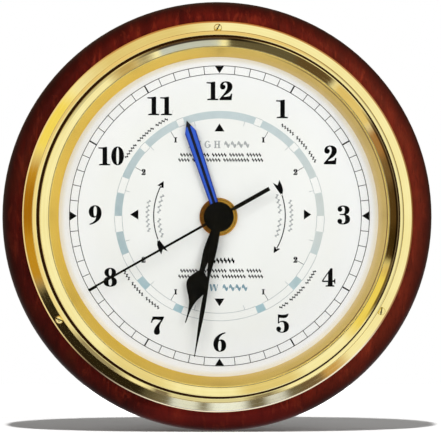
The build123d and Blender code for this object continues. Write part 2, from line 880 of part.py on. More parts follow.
# Battery lying across the movement, and its leaf contacts
contact_face = inner_half - contact_sheet
battery_end = contact_face - battery_length
with BuildPart() as battery:
    with BuildSketch(Plane.YZ.offset(battery_end)):
        with Locations((-battery_depth, battery_height)):
            Circle(battery_radius)
    extrude(amount=battery_length - battery_nub_length)
    fillet(battery.edges().filter_by(GeomType.CIRCLE), battery_edge_radius)
    with BuildSketch(Plane.YZ.offset(contact_face - battery_nub_length)):
        with Locations((-battery_depth, battery_height)):
            Circle(battery_nub_radius)
    extrude(amount=battery_nub_length)
battery.part.label = "battery"
export_step(battery.part, "parts/battery.step")

with BuildPart() as contact_positive:
    with BuildSketch(Plane.YZ.offset(contact_face)):
        with Locations((-battery_depth, battery_height)):
            Rectangle(contact_size, contact_size)
    extrude(amount=contact_sheet)
contact_positive.part.label = "contact_positive"
export_step(contact_positive.part, "parts/contact_positive.step")

with BuildPart() as contact_negative:
    spring_top = battery_height + contact_size / 2
    with BuildSketch(Plane((0, -battery_depth, spring_top))):
        with BuildLine():
            Polyline(
                (-inner_half, -contact_size / 2),
                (battery_end, -contact_size / 4),
                (battery_end, contact_size / 4),
                (-inner_half, contact_size / 2),
                (-inner_half, contact_size / 2 - contact_sheet),
                (battery_end - contact_sheet, contact_size / 4 - contact_sheet / 2),
                (battery_end - contact_sheet, contact_sheet / 2 - contact_size / 4),
                (-inner_half, contact_sheet - contact_size / 2),
                close=True,
            )
        make_face()
    extrude(amount=-contact_size)
contact_negative.part.label = "contact_negative"
export_step(contact_negative.part, "parts/contact_negative.step")

# Seconds arbor with its wheel and pinion
second_hand_front = second_hand_back + second_hand_thickness
arbor_back = movement_back + loose_clearance
with BuildPart() as seconds_wheel:
    with BuildSketch(facing(arbor_back)):
        Circle(arbor_radius)
    extrude(amount=second_hand_front + tube_stand - arbor_back)
    extrude(
        gear_face(
            facing(seconds_wheel_back), seconds_teeth, seconds_module, seconds_phase, arbor_radius / 2
        ),
        amount=wheel_thickness,
    )
    extrude(
        gear_face(
            facing(third_wheel_back - pinion_overlap),
            seconds_pinion_teeth,
            third_module,
            seconds_pinion_phase,
            arbor_radius / 2,
        ),
        amount=wheel_thickness + 2 * pinion_overlap,
    )
seconds_wheel.part.label = "seconds_wheel"
export_step(seconds_wheel.part, "parts/seconds_wheel.step")

# Intermediate wheel between rotor and seconds wheel
post_bore = train_post_radius + running_clearance
with BuildPart() as intermediate_wheel:
    extrude(
        gear_face(
            facing(intermediate_back, *intermediate_at),
            intermediate_teeth,
            rotor_module,
            intermediate_phase,
            post_bore,
        ),
        amount=wheel_thickness,
    )
    extrude(
        gear_face(
            facing(intermediate_back + wheel_thickness, *intermediate_at),
            intermediate_pinion_teeth,
            seconds_module,
            intermediate_pinion_phase,
            post_bore,
        ),
        amount=layer_gap + wheel_thickness + pinion_overlap,
    )
intermediate_wheel.part.label = "intermediate_wheel"
export_step(intermediate_wheel.part, "parts/intermediate_wheel.step")

# Rotor: ring magnet and its pinion
magnet_back = stator_back - (magnet_length - stator_thickness) / 2
with BuildPart() as rotor:
    revolve(
        ring_section(post_bore, magnet_radius, magnet_back, magnet_back + magnet_length, *rotor_at),
        axis=axis_at(*rotor_at),
    )
    extrude(
        gear_face(
            facing(magnet_back + magnet_length, *rotor_at), rotor_teeth, rotor_module, rotor_phase, post_bore
        ),
        amount=intermediate_back + wheel_thickness + pinion_overlap - magnet_back - magnet_length,
    )
rotor.part.label = "rotor"
export_step(rotor.part, "parts/rotor.step")

# Third wheel on its post under the train plate
third_bore = third_post_radius + running_clearance
with BuildPart() as third_wheel:
    extrude(
        gear_face(
            facing(third_wheel_back, *third_at), third_teeth, third_module, third_phase, third_bore
        ),
        amount=wheel_thickness,
    )
    extrude(
        gear_face(
            facing(third_wheel_back + wheel_thickness, *third_at),
            third_pinion_teeth,
            centre_module,
            third_pinion_phase,
            third_bore,
        ),
        amount=centre_wheel_back - third_wheel_back + pinion_overlap / 2,
    )
third_wheel.part.label = "third_wheel"
export_step(third_wheel.part, "parts/third_wheel.step")

# Centre wheel, which grips the cannon pinion and slips when the time is set
with BuildPart() as centre_wheel:
    extrude(
        gear_face(
            facing(centre_wheel_back),
            centre_teeth,
            centre_module,
            centre_phase,
            cannon_radius + running_clearance,
        ),
        amount=wheel_thickness,
    )
centre_wheel.part.label = "centre_wheel"
export_step(centre_wheel.part, "parts/centre_wheel.step")

# Cannon pinion with the minute tube
cannon_bore = arbor_radius + running_clearance
cannon_back = centre_wheel_back - loose_clearance
minute_hand_front = minute_hand_back + minute_hand_thickness
with BuildPart() as cannon_pinion:
    with BuildSketch(facing(cannon_back)):
        Circle(cannon_radius)
        Circle(cannon_bore, mode=Mode.SUBTRACT)
    extrude(amount=minute_hand_front + tube_stand - cannon_back)
    extrude(
        gear_face(
            facing(motion_wheel_back - pinion_overlap / 2),
            cannon_teeth,
            motion_module,
            cannon_phase,
            (cannon_bore + cannon_radius) / 2,
        ),
        amount=thick_wheel + pinion_overlap,
    )
cannon_pinion.part.label = "cannon_pinion"
export_step(cannon_pinion.part, "parts/cannon_pinion.step")

# Motion wheel and pinion on the post of the train plate
motion_bore = motion_post_radius + running_clearance
with BuildPart() as motion_wheel:
    extrude(
        gear_face(
            facing(motion_wheel_back, *motion_at), motion_teeth, motion_module, motion_phase, motion_bore
        ),
        amount=thick_wheel,
    )
    extrude(
        gear_face(
            facing(motion_wheel_back + thick_wheel, *motion_at),
            motion_pinion_teeth,
            hour_module,
            motion_pinion_phase,
            motion_bore,
        ),
        amount=hour_gear_back - motion_wheel_back,
    )
motion_wheel.part.label = "motion_wheel"
export_step(motion_wheel.part, "parts/motion_wheel.step")

# Hour wheel: its gear, the gear that drives the tide, and the hour tube
hour_bore = cannon_radius + running_clearance
hour_hand_front = hour_hand_back + hour_boss_thickness
with BuildPart() as hour_wheel:
    with BuildSketch(facing(hour_gear_back)):
        Circle(hour_tube_radius)
        Circle(hour_bore, mode=Mode.SUBTRACT)
    extrude(amount=hour_hand_front + tube_stand - hour_gear_back)
    web_bore = (hour_bore + hour_tube_radius) / 2
    extrude(
        gear_face(facing(hour_gear_back), hour_teeth, hour_module, hour_phase, web_bore),
        amount=thick_wheel,
    )
    extrude(
        gear_face(
            facing(hour_drive_back), hour_drive_teeth, idler_module, hour_drive_phase, web_bore
        ),
        amount=thick_wheel,
    )
hour_wheel.part.label = "hour_wheel"
export_step(hour_wheel.part, "parts/hour_wheel.step")

# Tide wheel and its tube, the outermost on the centre
tide_bore = hour_tube_radius + running_clearance
tide_hand_front = tide_hand_back + tide_hand_thickness
with BuildPart() as tide_wheel:
    with BuildSketch(facing(tide_wheel_back)):
        Circle(tide_tube_radius)
        Circle(tide_bore, mode=Mode.SUBTRACT)
    extrude(amount=tide_hand_front + tube_stand - tide_wheel_back)
    extrude(
        gear_face(
            facing(tide_wheel_back), tide_teeth, tide_module, tide_phase, (tide_bore + tide_tube_radius) / 2
        ),
        amount=thick_wheel,
    )
tide_wheel.part.label = "tide_wheel"
export_step(tide_wheel.part, "parts/tide_wheel.step")

# Idler: one set of leaves for the hour wheel and one for the tide wheel
idler_split = (hour_drive_back + thick_wheel + tide_wheel_back) / 2
with BuildPart() as tide_idler:
    extrude(
        gear_face(
            facing(hour_drive_back - pinion_overlap / 2, *idler_at),
            idler_teeth,
            idler_module,
            idler_hour_phase,
            motion_bore,
        ),
        amount=idler_split - hour_drive_back + pinion_overlap / 2,
    )
    extrude(
        gear_face(
            facing(idler_split, *idler_at), idler_teeth, tide_module, idler_tide_phase, motion_bore
        ),
        amount=tide_wheel_back + thick_wheel + pinion_overlap / 2 - idler_split,
    )
tide_idler.part.label = "tide_idler"
export_step(tide_idler.part, "parts/tide_idler.step")

# Time setting knob on the back, with the pinion that turns the motion wheel
knob_front = rear_cover_back - knob_gap
with BuildPart() as set_knob:
    with BuildSketch(facing(knob_front - knob_thickness, *knob_at)):
        Circle(knob_radius)
        with PolarLocations(knob_radius, knob_flutes):
            Circle(knob_flute_radius, mode=Mode.SUBTRACT)
    extrude(amount=knob_thickness)
    with BuildSketch(facing(knob_front, *knob_at)):
        Circle(knob_shaft_radius)
    extrude(amount=motion_wheel_back + thick_wheel - knob_front)
    extrude(
        gear_face(
            facing(motion_wheel_back - pinion_overlap / 2, *knob_at),
            knob_teeth,
            motion_module,
            knob_phase,
            knob_shaft_radius / 2,
        ),
        amount=thick_wheel + pinion_overlap,
    )
set_knob.part.label = "set_knob"
export_step(set_knob.part, "parts/set_knob.step")

# Stator of the step motor with its coil core
coil_axis_depth = stator_front + stator_thickness / 2
with BuildPart() as stator:
    stator_middle = (stator_right - stator_left) / 2
    with BuildSketch(facing(stator_back)):
        with Locations((stator_middle, rotor_at[1])):
            Rectangle(stator_right + stator_left, stator_bar_width)
        leg_top = core_height + core_width / 2
        for leg_x in (stator_leg_width / 2 - stator_left, stator_right - stator_leg_width / 2):
            with Locations((leg_x, (leg_top + rotor_at[1]) / 2)):
                Rectangle(stator_leg_width, leg_top - rotor_at[1])
        with Locations(rotor_at):
            Circle(magnet_radius + stator_bore_gap, mode=Mode.SUBTRACT)
    extrude(amount=stator_thickness)
    with BuildSketch(facing(stator_front, stator_middle, core_height)):
        Rectangle(stator_right + stator_left, core_width)
    extrude(amount=stator_thickness)
stator.part.label = "stator"
export_step(stator.part, "parts/stator.step")

# Bobbin and its winding around the core
bobbin_left = stator_leg_width - stator_left + bobbin_margin
bobbin_right = stator_right - stator_leg_width - bobbin_margin
with BuildPart() as coil_bobbin:
    with BuildSketch(Plane.YZ.offset(bobbin_left)):
        with Locations((-coil_axis_depth, core_height)):
            Circle(bobbin_tube_radius)
    extrude(amount=bobbin_right - bobbin_left)
    for flange_x in (bobbin_left, bobbin_right - bobbin_flange_thickness):
        with BuildSketch(Plane.YZ.offset(flange_x)):
            with Locations((-coil_axis_depth, core_height)):
                Circle(bobbin_flange_radius)
        extrude(amount=bobbin_flange_thickness)
    with BuildSketch(Plane.YZ.offset(bobbin_left)):
        with Locations((-coil_axis_depth, core_height)):
            Rectangle(stator_thickness + 2 * push_clearance, core_width + 2 * push_clearance)
    extrude(amount=bobbin_right - bobbin_left, mode=Mode.SUBTRACT)
coil_bobbin.part.label = "coil_bobbin"
export_step(coil_bobbin.part, "parts/coil_bobbin.step")

with BuildPart() as coil_winding:
    winding_left = bobbin_left + bobbin_flange_thickness
    with BuildSketch(Plane.YZ.offset(winding_left)):
        with Locations((-coil_axis_depth, core_height)):
            Circle(winding_radius)
            Circle(bobbin_tube_radius + push_clearance, mode=Mode.SUBTRACT)
    extrude(amount=bobbin_right - bobbin_flange_thickness - winding_left)
coil_winding.part.label = "coil_winding"
export_step(coil_winding.part, "parts/coil_winding.step")

# Circuit board behind the train plate, with chip and quartz
board_x = board_margin + board_width / 2 - inner_half
with BuildPart() as circuit_board:
    with BuildSketch(facing(train_plate_back, board_x)):
        Rectangle(board_width, board_length)
    extrude(amount=-board_thickness)
circuit_board.part.label = "circuit_board"
export_step(circuit_board.part, "parts/circuit_board.step")

board_back = train_plate_back - board_thickness
with BuildPart() as timing_chip:
    with BuildSketch(facing(board_back, board_x, chip_raise)):
        RectangleRounded(chip_size, chip_size, chip_size / 8)
    extrude(amount=-chip_height)
timing_chip.part.label = "timing_chip"
export_step(timing_chip.part, "parts/timing_chip.step")

with BuildPart() as quartz_crystal:
    crystal_top = crystal_length - board_length / 2
    with BuildSketch(Plane.XY.offset(crystal_top)):
        with Locations((board_x, crystal_radius - board_back)):
            Circle(crystal_radius)
    extrude(amount=-crystal_length)
    fillet(quartz_crystal.edges().filter_by(GeomType.CIRCLE), crystal_radius / 4)
quartz_crystal.part.label = "quartz_crystal"
export_step(quartz_crystal.part, "parts/quartz_crystal.step")

# Tide hand: a tapering bar with a pointed end, on a hub and collet
with BuildPart() as tide_hand:
    with BuildSketch(facing(tide_hand_back, clockwise=tide_hand_angle)):
        with BuildLine():
            Polyline(
                (-tide_hand_hub_width / 2, 0),
                (-tide_hand_width / 2, tide_hand_shoulder),
                (0, tide_hand_length),
                (tide_hand_width / 2, tide_hand_shoulder),
                (tide_hand_hub_width / 2, 0),
                close=True,
            )
        make_face()
        Circle(tide_hub_radius)
    extrude(amount=tide_hand_thickness)
    with BuildSketch(facing(tide_hand_back - collet_height / 4)):
        Circle(tide_tube_radius + push_clearance + collet_wall)
    extrude(amount=collet_height)
    with BuildSketch(facing(tide_hand_back - collet_height)):
        Circle(tide_tube_radius + push_clearance)
    extrude(amount=2 * collet_height, mode=Mode.SUBTRACT)
tide_hand.part.label = "tide_hand"
export_step(tide_hand.part, "parts/tide_hand.step")

# Hour hand: a leaf and a spade on a round boss
with BuildPart() as hour_hand:
    extrude(
        blade_face(
            facing(hour_hand_back, clockwise=hour_hand_angle),
            (hour_leaf_shares, hour_spade_shares),
            hour_hand_length,
            hour_hand_width / 2,
        ),
        amount=hour_hand_thickness,
    )
    with BuildSketch(facing(hour_hand_back)):
        Circle(hour_boss_radius)
    extrude(amount=hour_boss_thickness)
    with BuildSketch(facing(hour_hand_back)):
        Circle(hour_tube_radius + push_clearance)
    extrude(amount=hour_boss_thickness, mode=Mode.SUBTRACT)
hour_hand.part.label = "hour_hand"
export_step(hour_hand.part, "parts/hour_hand.step")

# Minute hand: a leaf and a long thin blade
with BuildPart() as minute_hand:
    extrude(
        blade_face(
            facing(minute_hand_back, clockwise=minute_hand_angle),
            (minute_leaf_shares, minute_blade_shares),
            minute_hand_length,
            minute_hand_width / 2,
        ),
        amount=minute_hand_thickness,
    )
    with BuildSketch(facing(minute_hand_back)):
        Circle(minute_hub_radius)
    extrude(amount=minute_hand_thickness)
    with BuildSketch(facing(minute_hand_back)):
        Circle(cannon_radius + push_clearance)
    extrude(amount=minute_hand_thickness, mode=Mode.SUBTRACT)
minute_hand.part.label = "minute_hand"
export_step(minute_hand.part, "parts/minute_hand.step")

# Second hand: a needle with a square-ended tail and a small cap
with BuildPart() as second_hand:
    with BuildSketch(facing(second_hand_back, clockwise=second_hand_angle)):
        with BuildLine():
            Polyline(
                (-second_hand_root_width / 2, -second_tail_neck),
                (-second_hand_root_width / 2, 0),
                (-second_hand_tip_width / 2, second_hand_length),
                (second_hand_tip_width / 2, second_hand_length),
                (second_hand_root_width / 2, 0),
                (second_hand_root_width / 2, -second_tail_neck),
                (second_tail_width / 2, -second_tail_neck - second_tail_width),
                (second_tail_width / 2, -second_tail_length),
                (-second_tail_width / 2, -second_tail_length),
                (-second_tail_width / 2, -second_tail_neck - second_tail_width),
                close=True,
            )
        make_face()
        Circle(second_hub_radius)
    extrude(amount=second_hand_thickness)
    cap_back = second_hand_back - collet_height / 4
    with BuildSketch(facing(cap_back)):
        Circle(second_cap_radius)
    extrude(amount=collet_height)
    with BuildSketch(facing(cap_back)):
        Circle(arbor_radius + push_clearance)
    extrude(amount=second_hand_front + tube_stand + push_clearance - cap_back, mode=Mode.SUBTRACT)
second_hand.part.label = "second_hand"
export_step(second_hand.part, "parts/second_hand.step")
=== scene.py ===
import math

import bmesh
import bpy
from mathutils import Matrix, Vector


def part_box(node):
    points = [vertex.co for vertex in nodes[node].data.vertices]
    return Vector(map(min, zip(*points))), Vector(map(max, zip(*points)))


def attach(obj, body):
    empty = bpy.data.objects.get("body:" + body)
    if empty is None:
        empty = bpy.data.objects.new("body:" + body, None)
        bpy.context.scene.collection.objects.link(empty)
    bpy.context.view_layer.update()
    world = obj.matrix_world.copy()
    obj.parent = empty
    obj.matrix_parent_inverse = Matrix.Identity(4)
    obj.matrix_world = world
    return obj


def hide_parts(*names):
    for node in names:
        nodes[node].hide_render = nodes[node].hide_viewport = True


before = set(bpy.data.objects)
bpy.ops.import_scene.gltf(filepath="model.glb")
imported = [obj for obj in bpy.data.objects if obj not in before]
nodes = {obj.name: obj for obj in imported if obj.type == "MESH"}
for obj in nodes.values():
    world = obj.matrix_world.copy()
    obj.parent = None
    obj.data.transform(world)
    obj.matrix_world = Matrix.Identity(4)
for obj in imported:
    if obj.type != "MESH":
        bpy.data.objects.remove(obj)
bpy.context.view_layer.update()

MM = 0.001
DIAL_FRONT = -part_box("dial_plate")[0].y / MM
PLAQUE_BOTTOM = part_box("wood_base")[0].z


def added(name, data):
    """A new object of the scene."""
    made = bpy.data.objects.new(name, data)
    bpy.context.scene.collection.objects.link(made)
    return made


def dress(mesh, material):
    mesh.materials.clear()
    mesh.materials.append(material)


def toward(azimuth, elevation):
    """Direction from the clock, in degrees to the right of straight ahead and above it."""
    turn, tilt = math.radians(azimuth), math.radians(elevation)
    return Vector((math.sin(turn) * math.cos(tilt), -math.cos(turn) * math.cos(tilt), math.sin(tilt)))


def polar(radius, clockwise):
    """Right and up from a centre to a place clockwise from 12, in degrees."""
    angle = math.radians(clockwise)
    return radius * math.sin(angle), radius * math.cos(angle)


# Camera: nearly square to the dial, through a long lens
IMAGE_WIDTH = 441
MM_PER_PIXEL = 0.5178
SENSOR = 36.0
CAMERA_DISTANCE = 8.0
CAMERA_AZIMUTH = -1.8
CAMERA_ELEVATION = 0.3
AIM = Vector((0.00171, -0.009, -0.0002))

back = toward(CAMERA_AZIMUTH, CAMERA_ELEVATION)
camera = added("camera", bpy.data.cameras.new("camera"))
camera.location = AIM + back * CAMERA_DISTANCE
camera.rotation_mode = "QUATERNION"
camera.rotation_quaternion = (-back).to_track_quat("-Z", "Y")
camera.data.sensor_width = SENSOR
camera.data.lens = SENSOR * CAMERA_DISTANCE / (IMAGE_WIDTH * MM_PER_PIXEL * MM)
camera.data.clip_start = 0.01
camera.data.clip_end = 100
bpy.context.scene.camera = camera
bpy.context.scene.view_settings.view_transform = "Standard"


# Small helpers for node trees
class Tree:
    """Short calls that make and link nodes in one node tree."""

    def __init__(self, tree, coordinates):
        self.tree = tree
        self.place = self.node("TexCoord").outputs[coordinates]

    def node(self, kind, inputs=None, **settings):
        """A shader node with its settings, and a value or a link for each of its named or numbered inputs."""
        made = self.tree.nodes.new("ShaderNode" + kind)
        for key, value in settings.items():
            setattr(made, key, value)
        for key, value in (inputs or {}).items():
            self.feed(made.inputs[key], value)
        return made

    def feed(self, socket, value):
        if isinstance(value, bpy.types.NodeSocket):
            self.tree.links.new(value, socket)
        elif socket.type == "RGBA" and len(value) == 3:
            socket.default_value = (*value, 1)
        else:
            socket.default_value = value

    def math(self, operation, a, b=0.0, clamp=False):
        return self.node("Math", {0: a, 1: b}, operation=operation, use_clamp=clamp).outputs[0]

    def times(self, a, b):
        return self.math("MULTIPLY", a, b)

    def plus(self, a, b):
        return self.math("ADD", a, b)

    def minus(self, a, b):
        return self.math("SUBTRACT", a, b)

    def larger(self, a, b):
        return self.math("MAXIMUM", a, b)

    def length(self, a, b):
        return self.math("SQRT", self.plus(self.times(a, a), self.times(b, b)))

    def mapped(self, scale, rotation=(0, 0, 0)):
        inputs = {"Vector": self.place, "Scale": scale, "Rotation": rotation}
        return self.node("Mapping", inputs).outputs[0]

    def noise(self, scale, detail, roughness, distortion=0.0, vector=None):
        return self.node("TexNoise", {
            "Vector": vector or self.place, "Scale": scale, "Detail": detail, "Roughness": roughness,
            "Distortion": distortion,
        }).outputs["Fac"]

    def ramp(self, factor, *stops):
        made = self.node("ValToRGB", {"Fac": factor})
        elements = made.color_ramp.elements
        while len(elements) < len(stops):
            elements.new(0.5)
        for element, (position, colour) in zip(elements, stops):
            element.position = position
            element.color = (*colour, 1)
        return made.outputs["Color"]

    def spread(self, value, low, high, start=0.3, end=0.7):
        """Low to high, and no further, while the value goes from start to end."""
        return self.node("MapRange", {0: value, 1: start, 2: end, 3: low, 4: high}).outputs[0]

    def rise(self, value, start, end):
        return self.spread(value, 0, 1, start, end)

    def band(self, value, start, full, last, end):
        """1 while the value is between full and last, 0 before start and after end."""
        return self.times(self.rise(value, start, full), self.rise(value, end, last))

    def mix(self, factor, a, b):
        return self.node("Mix", {"Factor": factor, 6: a, 7: b}, data_type="RGBA").outputs[2]

    def tint(self, tone, colour, share, value, start, end):
        """The tone, with up to a share of a colour coming in while the value goes from start to end."""
        return self.mix(self.spread(value, 0, share, start, end), tone, srgb(*colour))

    def axes(self):
        return self.node("SeparateXYZ", {0: self.place}).outputs

    def chosen(self, kind, a, b):
        """Shader b for one kind of rays, shader a for the rest."""
        ray = self.node("LightPath").outputs["Is %s Ray" % kind]
        return self.node("MixShader", {0: ray, 1: a, 2: b}).outputs[0]


class Graph(Tree):
    """A material with one main shader."""

    def __init__(self, name):
        self.material = bpy.data.materials.new(name)
        self.material.use_nodes = True
        super().__init__(self.material.node_tree, "Object")
        self.shader = self.tree.nodes["Principled BSDF"]
        self.output = self.tree.nodes["Material Output"]

    def set(self, **values):
        for key, value in values.items():
            self.feed(self.shader.inputs[key.replace("_", " ")], value)

    def fed(self, key):
        """What already feeds an input of the main shader."""
        return self.shader.inputs[key].links[0].from_socket

    def bump(self, height, distance, strength):
        inputs = {"Strength": strength, "Distance": distance, "Height": height}
        self.set(Normal=self.node("Bump", inputs).outputs["Normal"])


def srgb(*values):
    """Linear colour from 0 to 255 values."""
    return tuple(
        v / 255 / 12.92 if v / 255 <= 0.04045 else ((v / 255 + 0.055) / 1.055) ** 2.4 for v in values
    )


def turned_radius(g):
    """Distance from the hands' axis, in metres."""
    x, _, z = g.axes()
    return g.length(x, z)


def ring_angle(g):
    """Angle about the hands' axis, clockwise from 6 o'clock, from minus to plus half a turn in radians."""
    x, _, z = g.axes()
    return g.math("ARCTAN2", g.times(x, -1.0), g.times(z, -1.0))


def sector(g, angle, clockwise, full, none):
    """1 within full degrees of a place on a ring, given clockwise from 12, and 0 beyond none degrees."""
    off = g.math("ABSOLUTE", g.minus(angle, math.radians(clockwise - 180)))
    return g.rise(off, math.radians(none), math.radians(full))


# Materials
def mahogany():
    """Red brown wood, streaked, flecked and with open pores; painted shade makes it darker on the left and at
    its outer rim, and painted light makes it lighter on the right and at the bottom.
    """
    g = Graph("mahogany_lacquer")
    streaks = g.noise(26, 5, 0.62, 0.7, g.mapped((3.4, 1.0, 0.75), (0, 0.16, 0)))
    mottle = g.noise(30, 4, 0.6, 1.4, g.mapped((1.0, 1.0, 0.8)))
    pores = g.noise(520, 2, 0.5, 0.0, g.mapped((3.0, 1.0, 0.35)))
    body = g.ramp(
        streaks, (0.30, srgb(52, 9, 6)), (0.47, srgb(82, 16, 10)), (0.58, srgb(106, 24, 14)),
        (0.75, srgb(128, 40, 20)),
    )
    blotch = g.ramp(mottle, (0.34, srgb(54, 10, 7)), (0.52, srgb(92, 21, 13)), (0.70, srgb(106, 40, 20)))
    colour = g.mix(0.5, body, blotch)
    flecks = g.noise(85, 4, 0.68, 0.6, g.mapped((2.6, 1.0, 0.9), (0, -0.1, 0)))
    colour = g.tint(colour, (150, 54, 32), 0.55, flecks, 0.55, 0.72)
    colour = g.tint(colour, (40, 8, 6), 0.5, flecks, 0.46, 0.30)
    x, _, z = g.axes()
    # Painted light and shade: lighter towards the right, darker towards the left.
    colour = g.tint(colour, (140, 60, 36), 0.28, x, 0.02, 0.09)
    colour = g.tint(colour, (38, 6, 3), 0.5, x, -0.02, -0.09)
    colour = g.tint(colour, (34, 6, 4), 0.35, pores, 0.56, 0.72)
    # Painted light: a lighter, redder band at the bottom.
    colour = g.tint(colour, (140, 40, 38), 0.3, z, -0.096, -0.104)
    # Painted shade: the outer rim turns dark, less so at the bottom.
    rim = g.spread(turned_radius(g), 0.0, 0.85, 0.1040, 0.1105)
    rim = g.times(rim, g.spread(z, 0.2, 1, -0.107, -0.099))
    colour = g.mix(rim, colour, srgb(24, 6, 4))
    g.set(Base_Color=colour, Roughness=g.spread(pores, 0.30, 0.42))
    g.set(Coat_Weight=0.05, Coat_Roughness=0.12, Coat_IOR=1.35, Specular_IOR_Level=0.02)
    g.bump(pores, 0.000006, 0.3)
    return g.material


# Look of the polished brass: darkest and palest tone, range of roughness, fineness of the tool marks
POLISHED = ((243, 226, 152), (251, 239, 172), (0.02, 0.05), 900)


def brass_graph(name, low, high, rough, grain_scale, wear=0.25, bump=0.000002):
    """Turned brass: rings of fine tool marks about the hands' axis, and faint cloudy lacquer."""
    g = Graph(name)
    rings = g.node("CombineXYZ", {0: turned_radius(g), 1: g.axes()[1]})
    marks = g.noise(grain_scale, 2, 0.6, 0.0, rings.outputs[0])
    clouds = g.noise(22, 4, 0.6, 0.8)
    specks = g.noise(900, 2, 0.5)
    tone = g.plus(g.times(marks, wear), g.times(clouds, 1 - wear))
    fine = g.plus(g.times(marks, 0.7), g.times(specks, 0.3))
    colour = g.mix(g.rise(tone, 0.35, 0.65), srgb(*low), srgb(*high))
    g.set(Base_Color=colour, Metallic=1.0, Roughness=g.spread(fine, *rough))
    g.bump(marks, bump, 0.5)
    return g


def satin_cone():
    """Satin cone with painted reflections: warmer and brighter at the upper left, paler on the right, a
    painted reflection of the white dial beside it on the right, a painted highlight along its rim and a
    painted shadow line within that rim.
    """
    g = brass_graph("brass_satin", (224, 186, 66), (236, 199, 84), (0.34, 0.44), 2600, 0.5, 0.00001)
    tone = g.fed("Base Color")
    x, _, z = g.axes()
    # Painted reflections: brighter and warmer at the upper left, paler towards the right.
    upper_left_reflection = g.times(g.rise(x, 0.03, -0.02), g.rise(z, -0.04, 0.01))
    tone = g.mix(upper_left_reflection, tone, srgb(248, 210, 90))
    tone = g.tint(tone, (216, 190, 124), 0.8, x, -0.05, 0.08)
    radius = turned_radius(g)
    # Painted reflection of the white dial on the cone's inner side, towards the right.
    painted_dial_reflection = g.times(g.rise(radius, 0.0850, 0.0828), g.spread(x, 0, 0.5, -0.01, 0.05))
    tone = g.mix(painted_dial_reflection, tone, srgb(236, 218, 182))
    # Painted highlight: a bright line along the outer rim.
    tone = g.tint(tone, (252, 226, 128), 1, radius, 0.0872, 0.0875)
    # Painted shadow: a brown line just inside that rim, on the right, where the bezel's lip shades it.
    line = g.band(radius, 0.0866, 0.0868, 0.0871, 0.0873)
    line = g.times(line, g.spread(x, 0, 0.85, 0.02, 0.05))
    g.set(Base_Color=g.mix(line, tone, srgb(104, 62, 14)))
    return g.material


def nut_brass():
    """Ring nut: golden on the right, with a painted reflection making it browner on the left, and a darker
    line round its middle.
    """
    g = brass_graph("brass_nut", (186, 140, 52), (200, 156, 66), (0.16, 0.26), 3000, 0.5)
    tone = g.fed("Base Color")
    # Painted reflection: browner towards the left.
    tone = g.tint(tone, (98, 56, 14), 0.85, g.axes()[0], 0.001, -0.005)
    from_line = g.math("ABSOLUTE", g.minus(turned_radius(g), 0.0089))
    g.set(Base_Color=g.tint(tone, (104, 62, 16), 0.55, from_line, 0.0004, 0.0001))
    return g.material


def case_brass():
    """Polished brass: painted reflections make its outer lip brown at the top and right and pale at the
    bottom.
    """
    g = brass_graph("brass_case", *POLISHED)
    # Painted reflections round the lip, by the angle about the axis.
    share = g.plus(g.math("DIVIDE", ring_angle(g), 2 * math.pi), 0.5)
    tone = g.ramp(
        share, (0.0, srgb(200, 136, 74)), (0.16, srgb(192, 138, 84)), (0.24, srgb(146, 94, 46)),
        (0.34, srgb(184, 142, 96)), (0.37, srgb(248, 236, 206)), (0.55, srgb(248, 232, 196)),
        (0.61, srgb(108, 86, 64)), (0.66, srgb(246, 224, 158)), (0.87, srgb(246, 224, 154)),
        (0.91, srgb(210, 164, 96)), (1.0, srgb(200, 136, 74)),
    )
    lip = g.rise(turned_radius(g), 0.1002, 0.1005)
    g.set(Base_Color=g.mix(lip, g.fed("Base Color"), tone))
    return g.material


def metal(name, low, high, rough, scale=60):
    g = Graph(name)
    clouds = g.noise(scale, 4, 0.6, 0.5)
    grain = g.noise(scale * 30, 2, 0.5)
    g.set(Base_Color=g.mix(clouds, srgb(*low), srgb(*high)), Metallic=1.0, Roughness=g.spread(grain, *rough))
    g.bump(grain, 0.000008, 0.5)
    return g.material


def plastic(name, low, high, rough, scale=900, bump=0.00002):
    """Moulded plastic: a fine even texture and a slight change of tone."""
    g = Graph(name)
    tone = g.noise(40, 3, 0.5, 0.4)
    grain = g.noise(scale, 3, 0.6)
    colour = g.mix(g.rise(tone, 0.35, 0.65), srgb(*low), srgb(*high))
    g.set(Base_Color=colour, Roughness=g.spread(grain, *rough))
    g.bump(grain, bump, 0.6)
    return g.material


def glass_clear():
    """Clear glass that lets soft light and shadow rays straight through."""
    g = Graph("dial_glass")
    tone = g.mix(g.noise(14, 3, 0.5), (0.985, 0.992, 0.988), (0.995, 0.998, 0.996))
    g.set(Base_Color=tone, Roughness=0.0, IOR=1.45, Transmission_Weight=1.0)
    through = g.node("BsdfTransparent", {"Color": (0.97, 0.98, 0.975)}).outputs[0]
    pane = g.chosen("Diffuse", g.shader.outputs[0], through)
    g.feed(g.output.inputs["Surface"], g.chosen("Shadow", pane, through))
    return g.material


def enamel():
    """Satin white dial: a fine sprayed texture, painted light that makes it a little lighter and cooler
    towards the rim against the shade of the case, and creamy at its edge.
    """
    g = Graph("dial_enamel")
    grain = g.noise(1500, 2, 0.5)
    cloud = g.noise(16, 3, 0.5, 0.3)
    radius = turned_radius(g)
    colour = g.mix(g.rise(cloud, 0.35, 0.65), srgb(239, 238, 235), srgb(244, 243, 241))
    # Painted light: lighter and cooler towards the rim, where the case wall shades the dial.
    colour = g.tint(colour, (247, 247, 252), 0.9, radius, 0.060, 0.084)
    colour = g.tint(colour, (238, 230, 212), 0.8, radius, 0.0796, 0.0816)
    g.set(Base_Color=colour, Roughness=g.spread(grain, 0.42, 0.55), Specular_IOR_Level=0.12)
    g.bump(grain, 0.000006, 0.3)
    return g.material


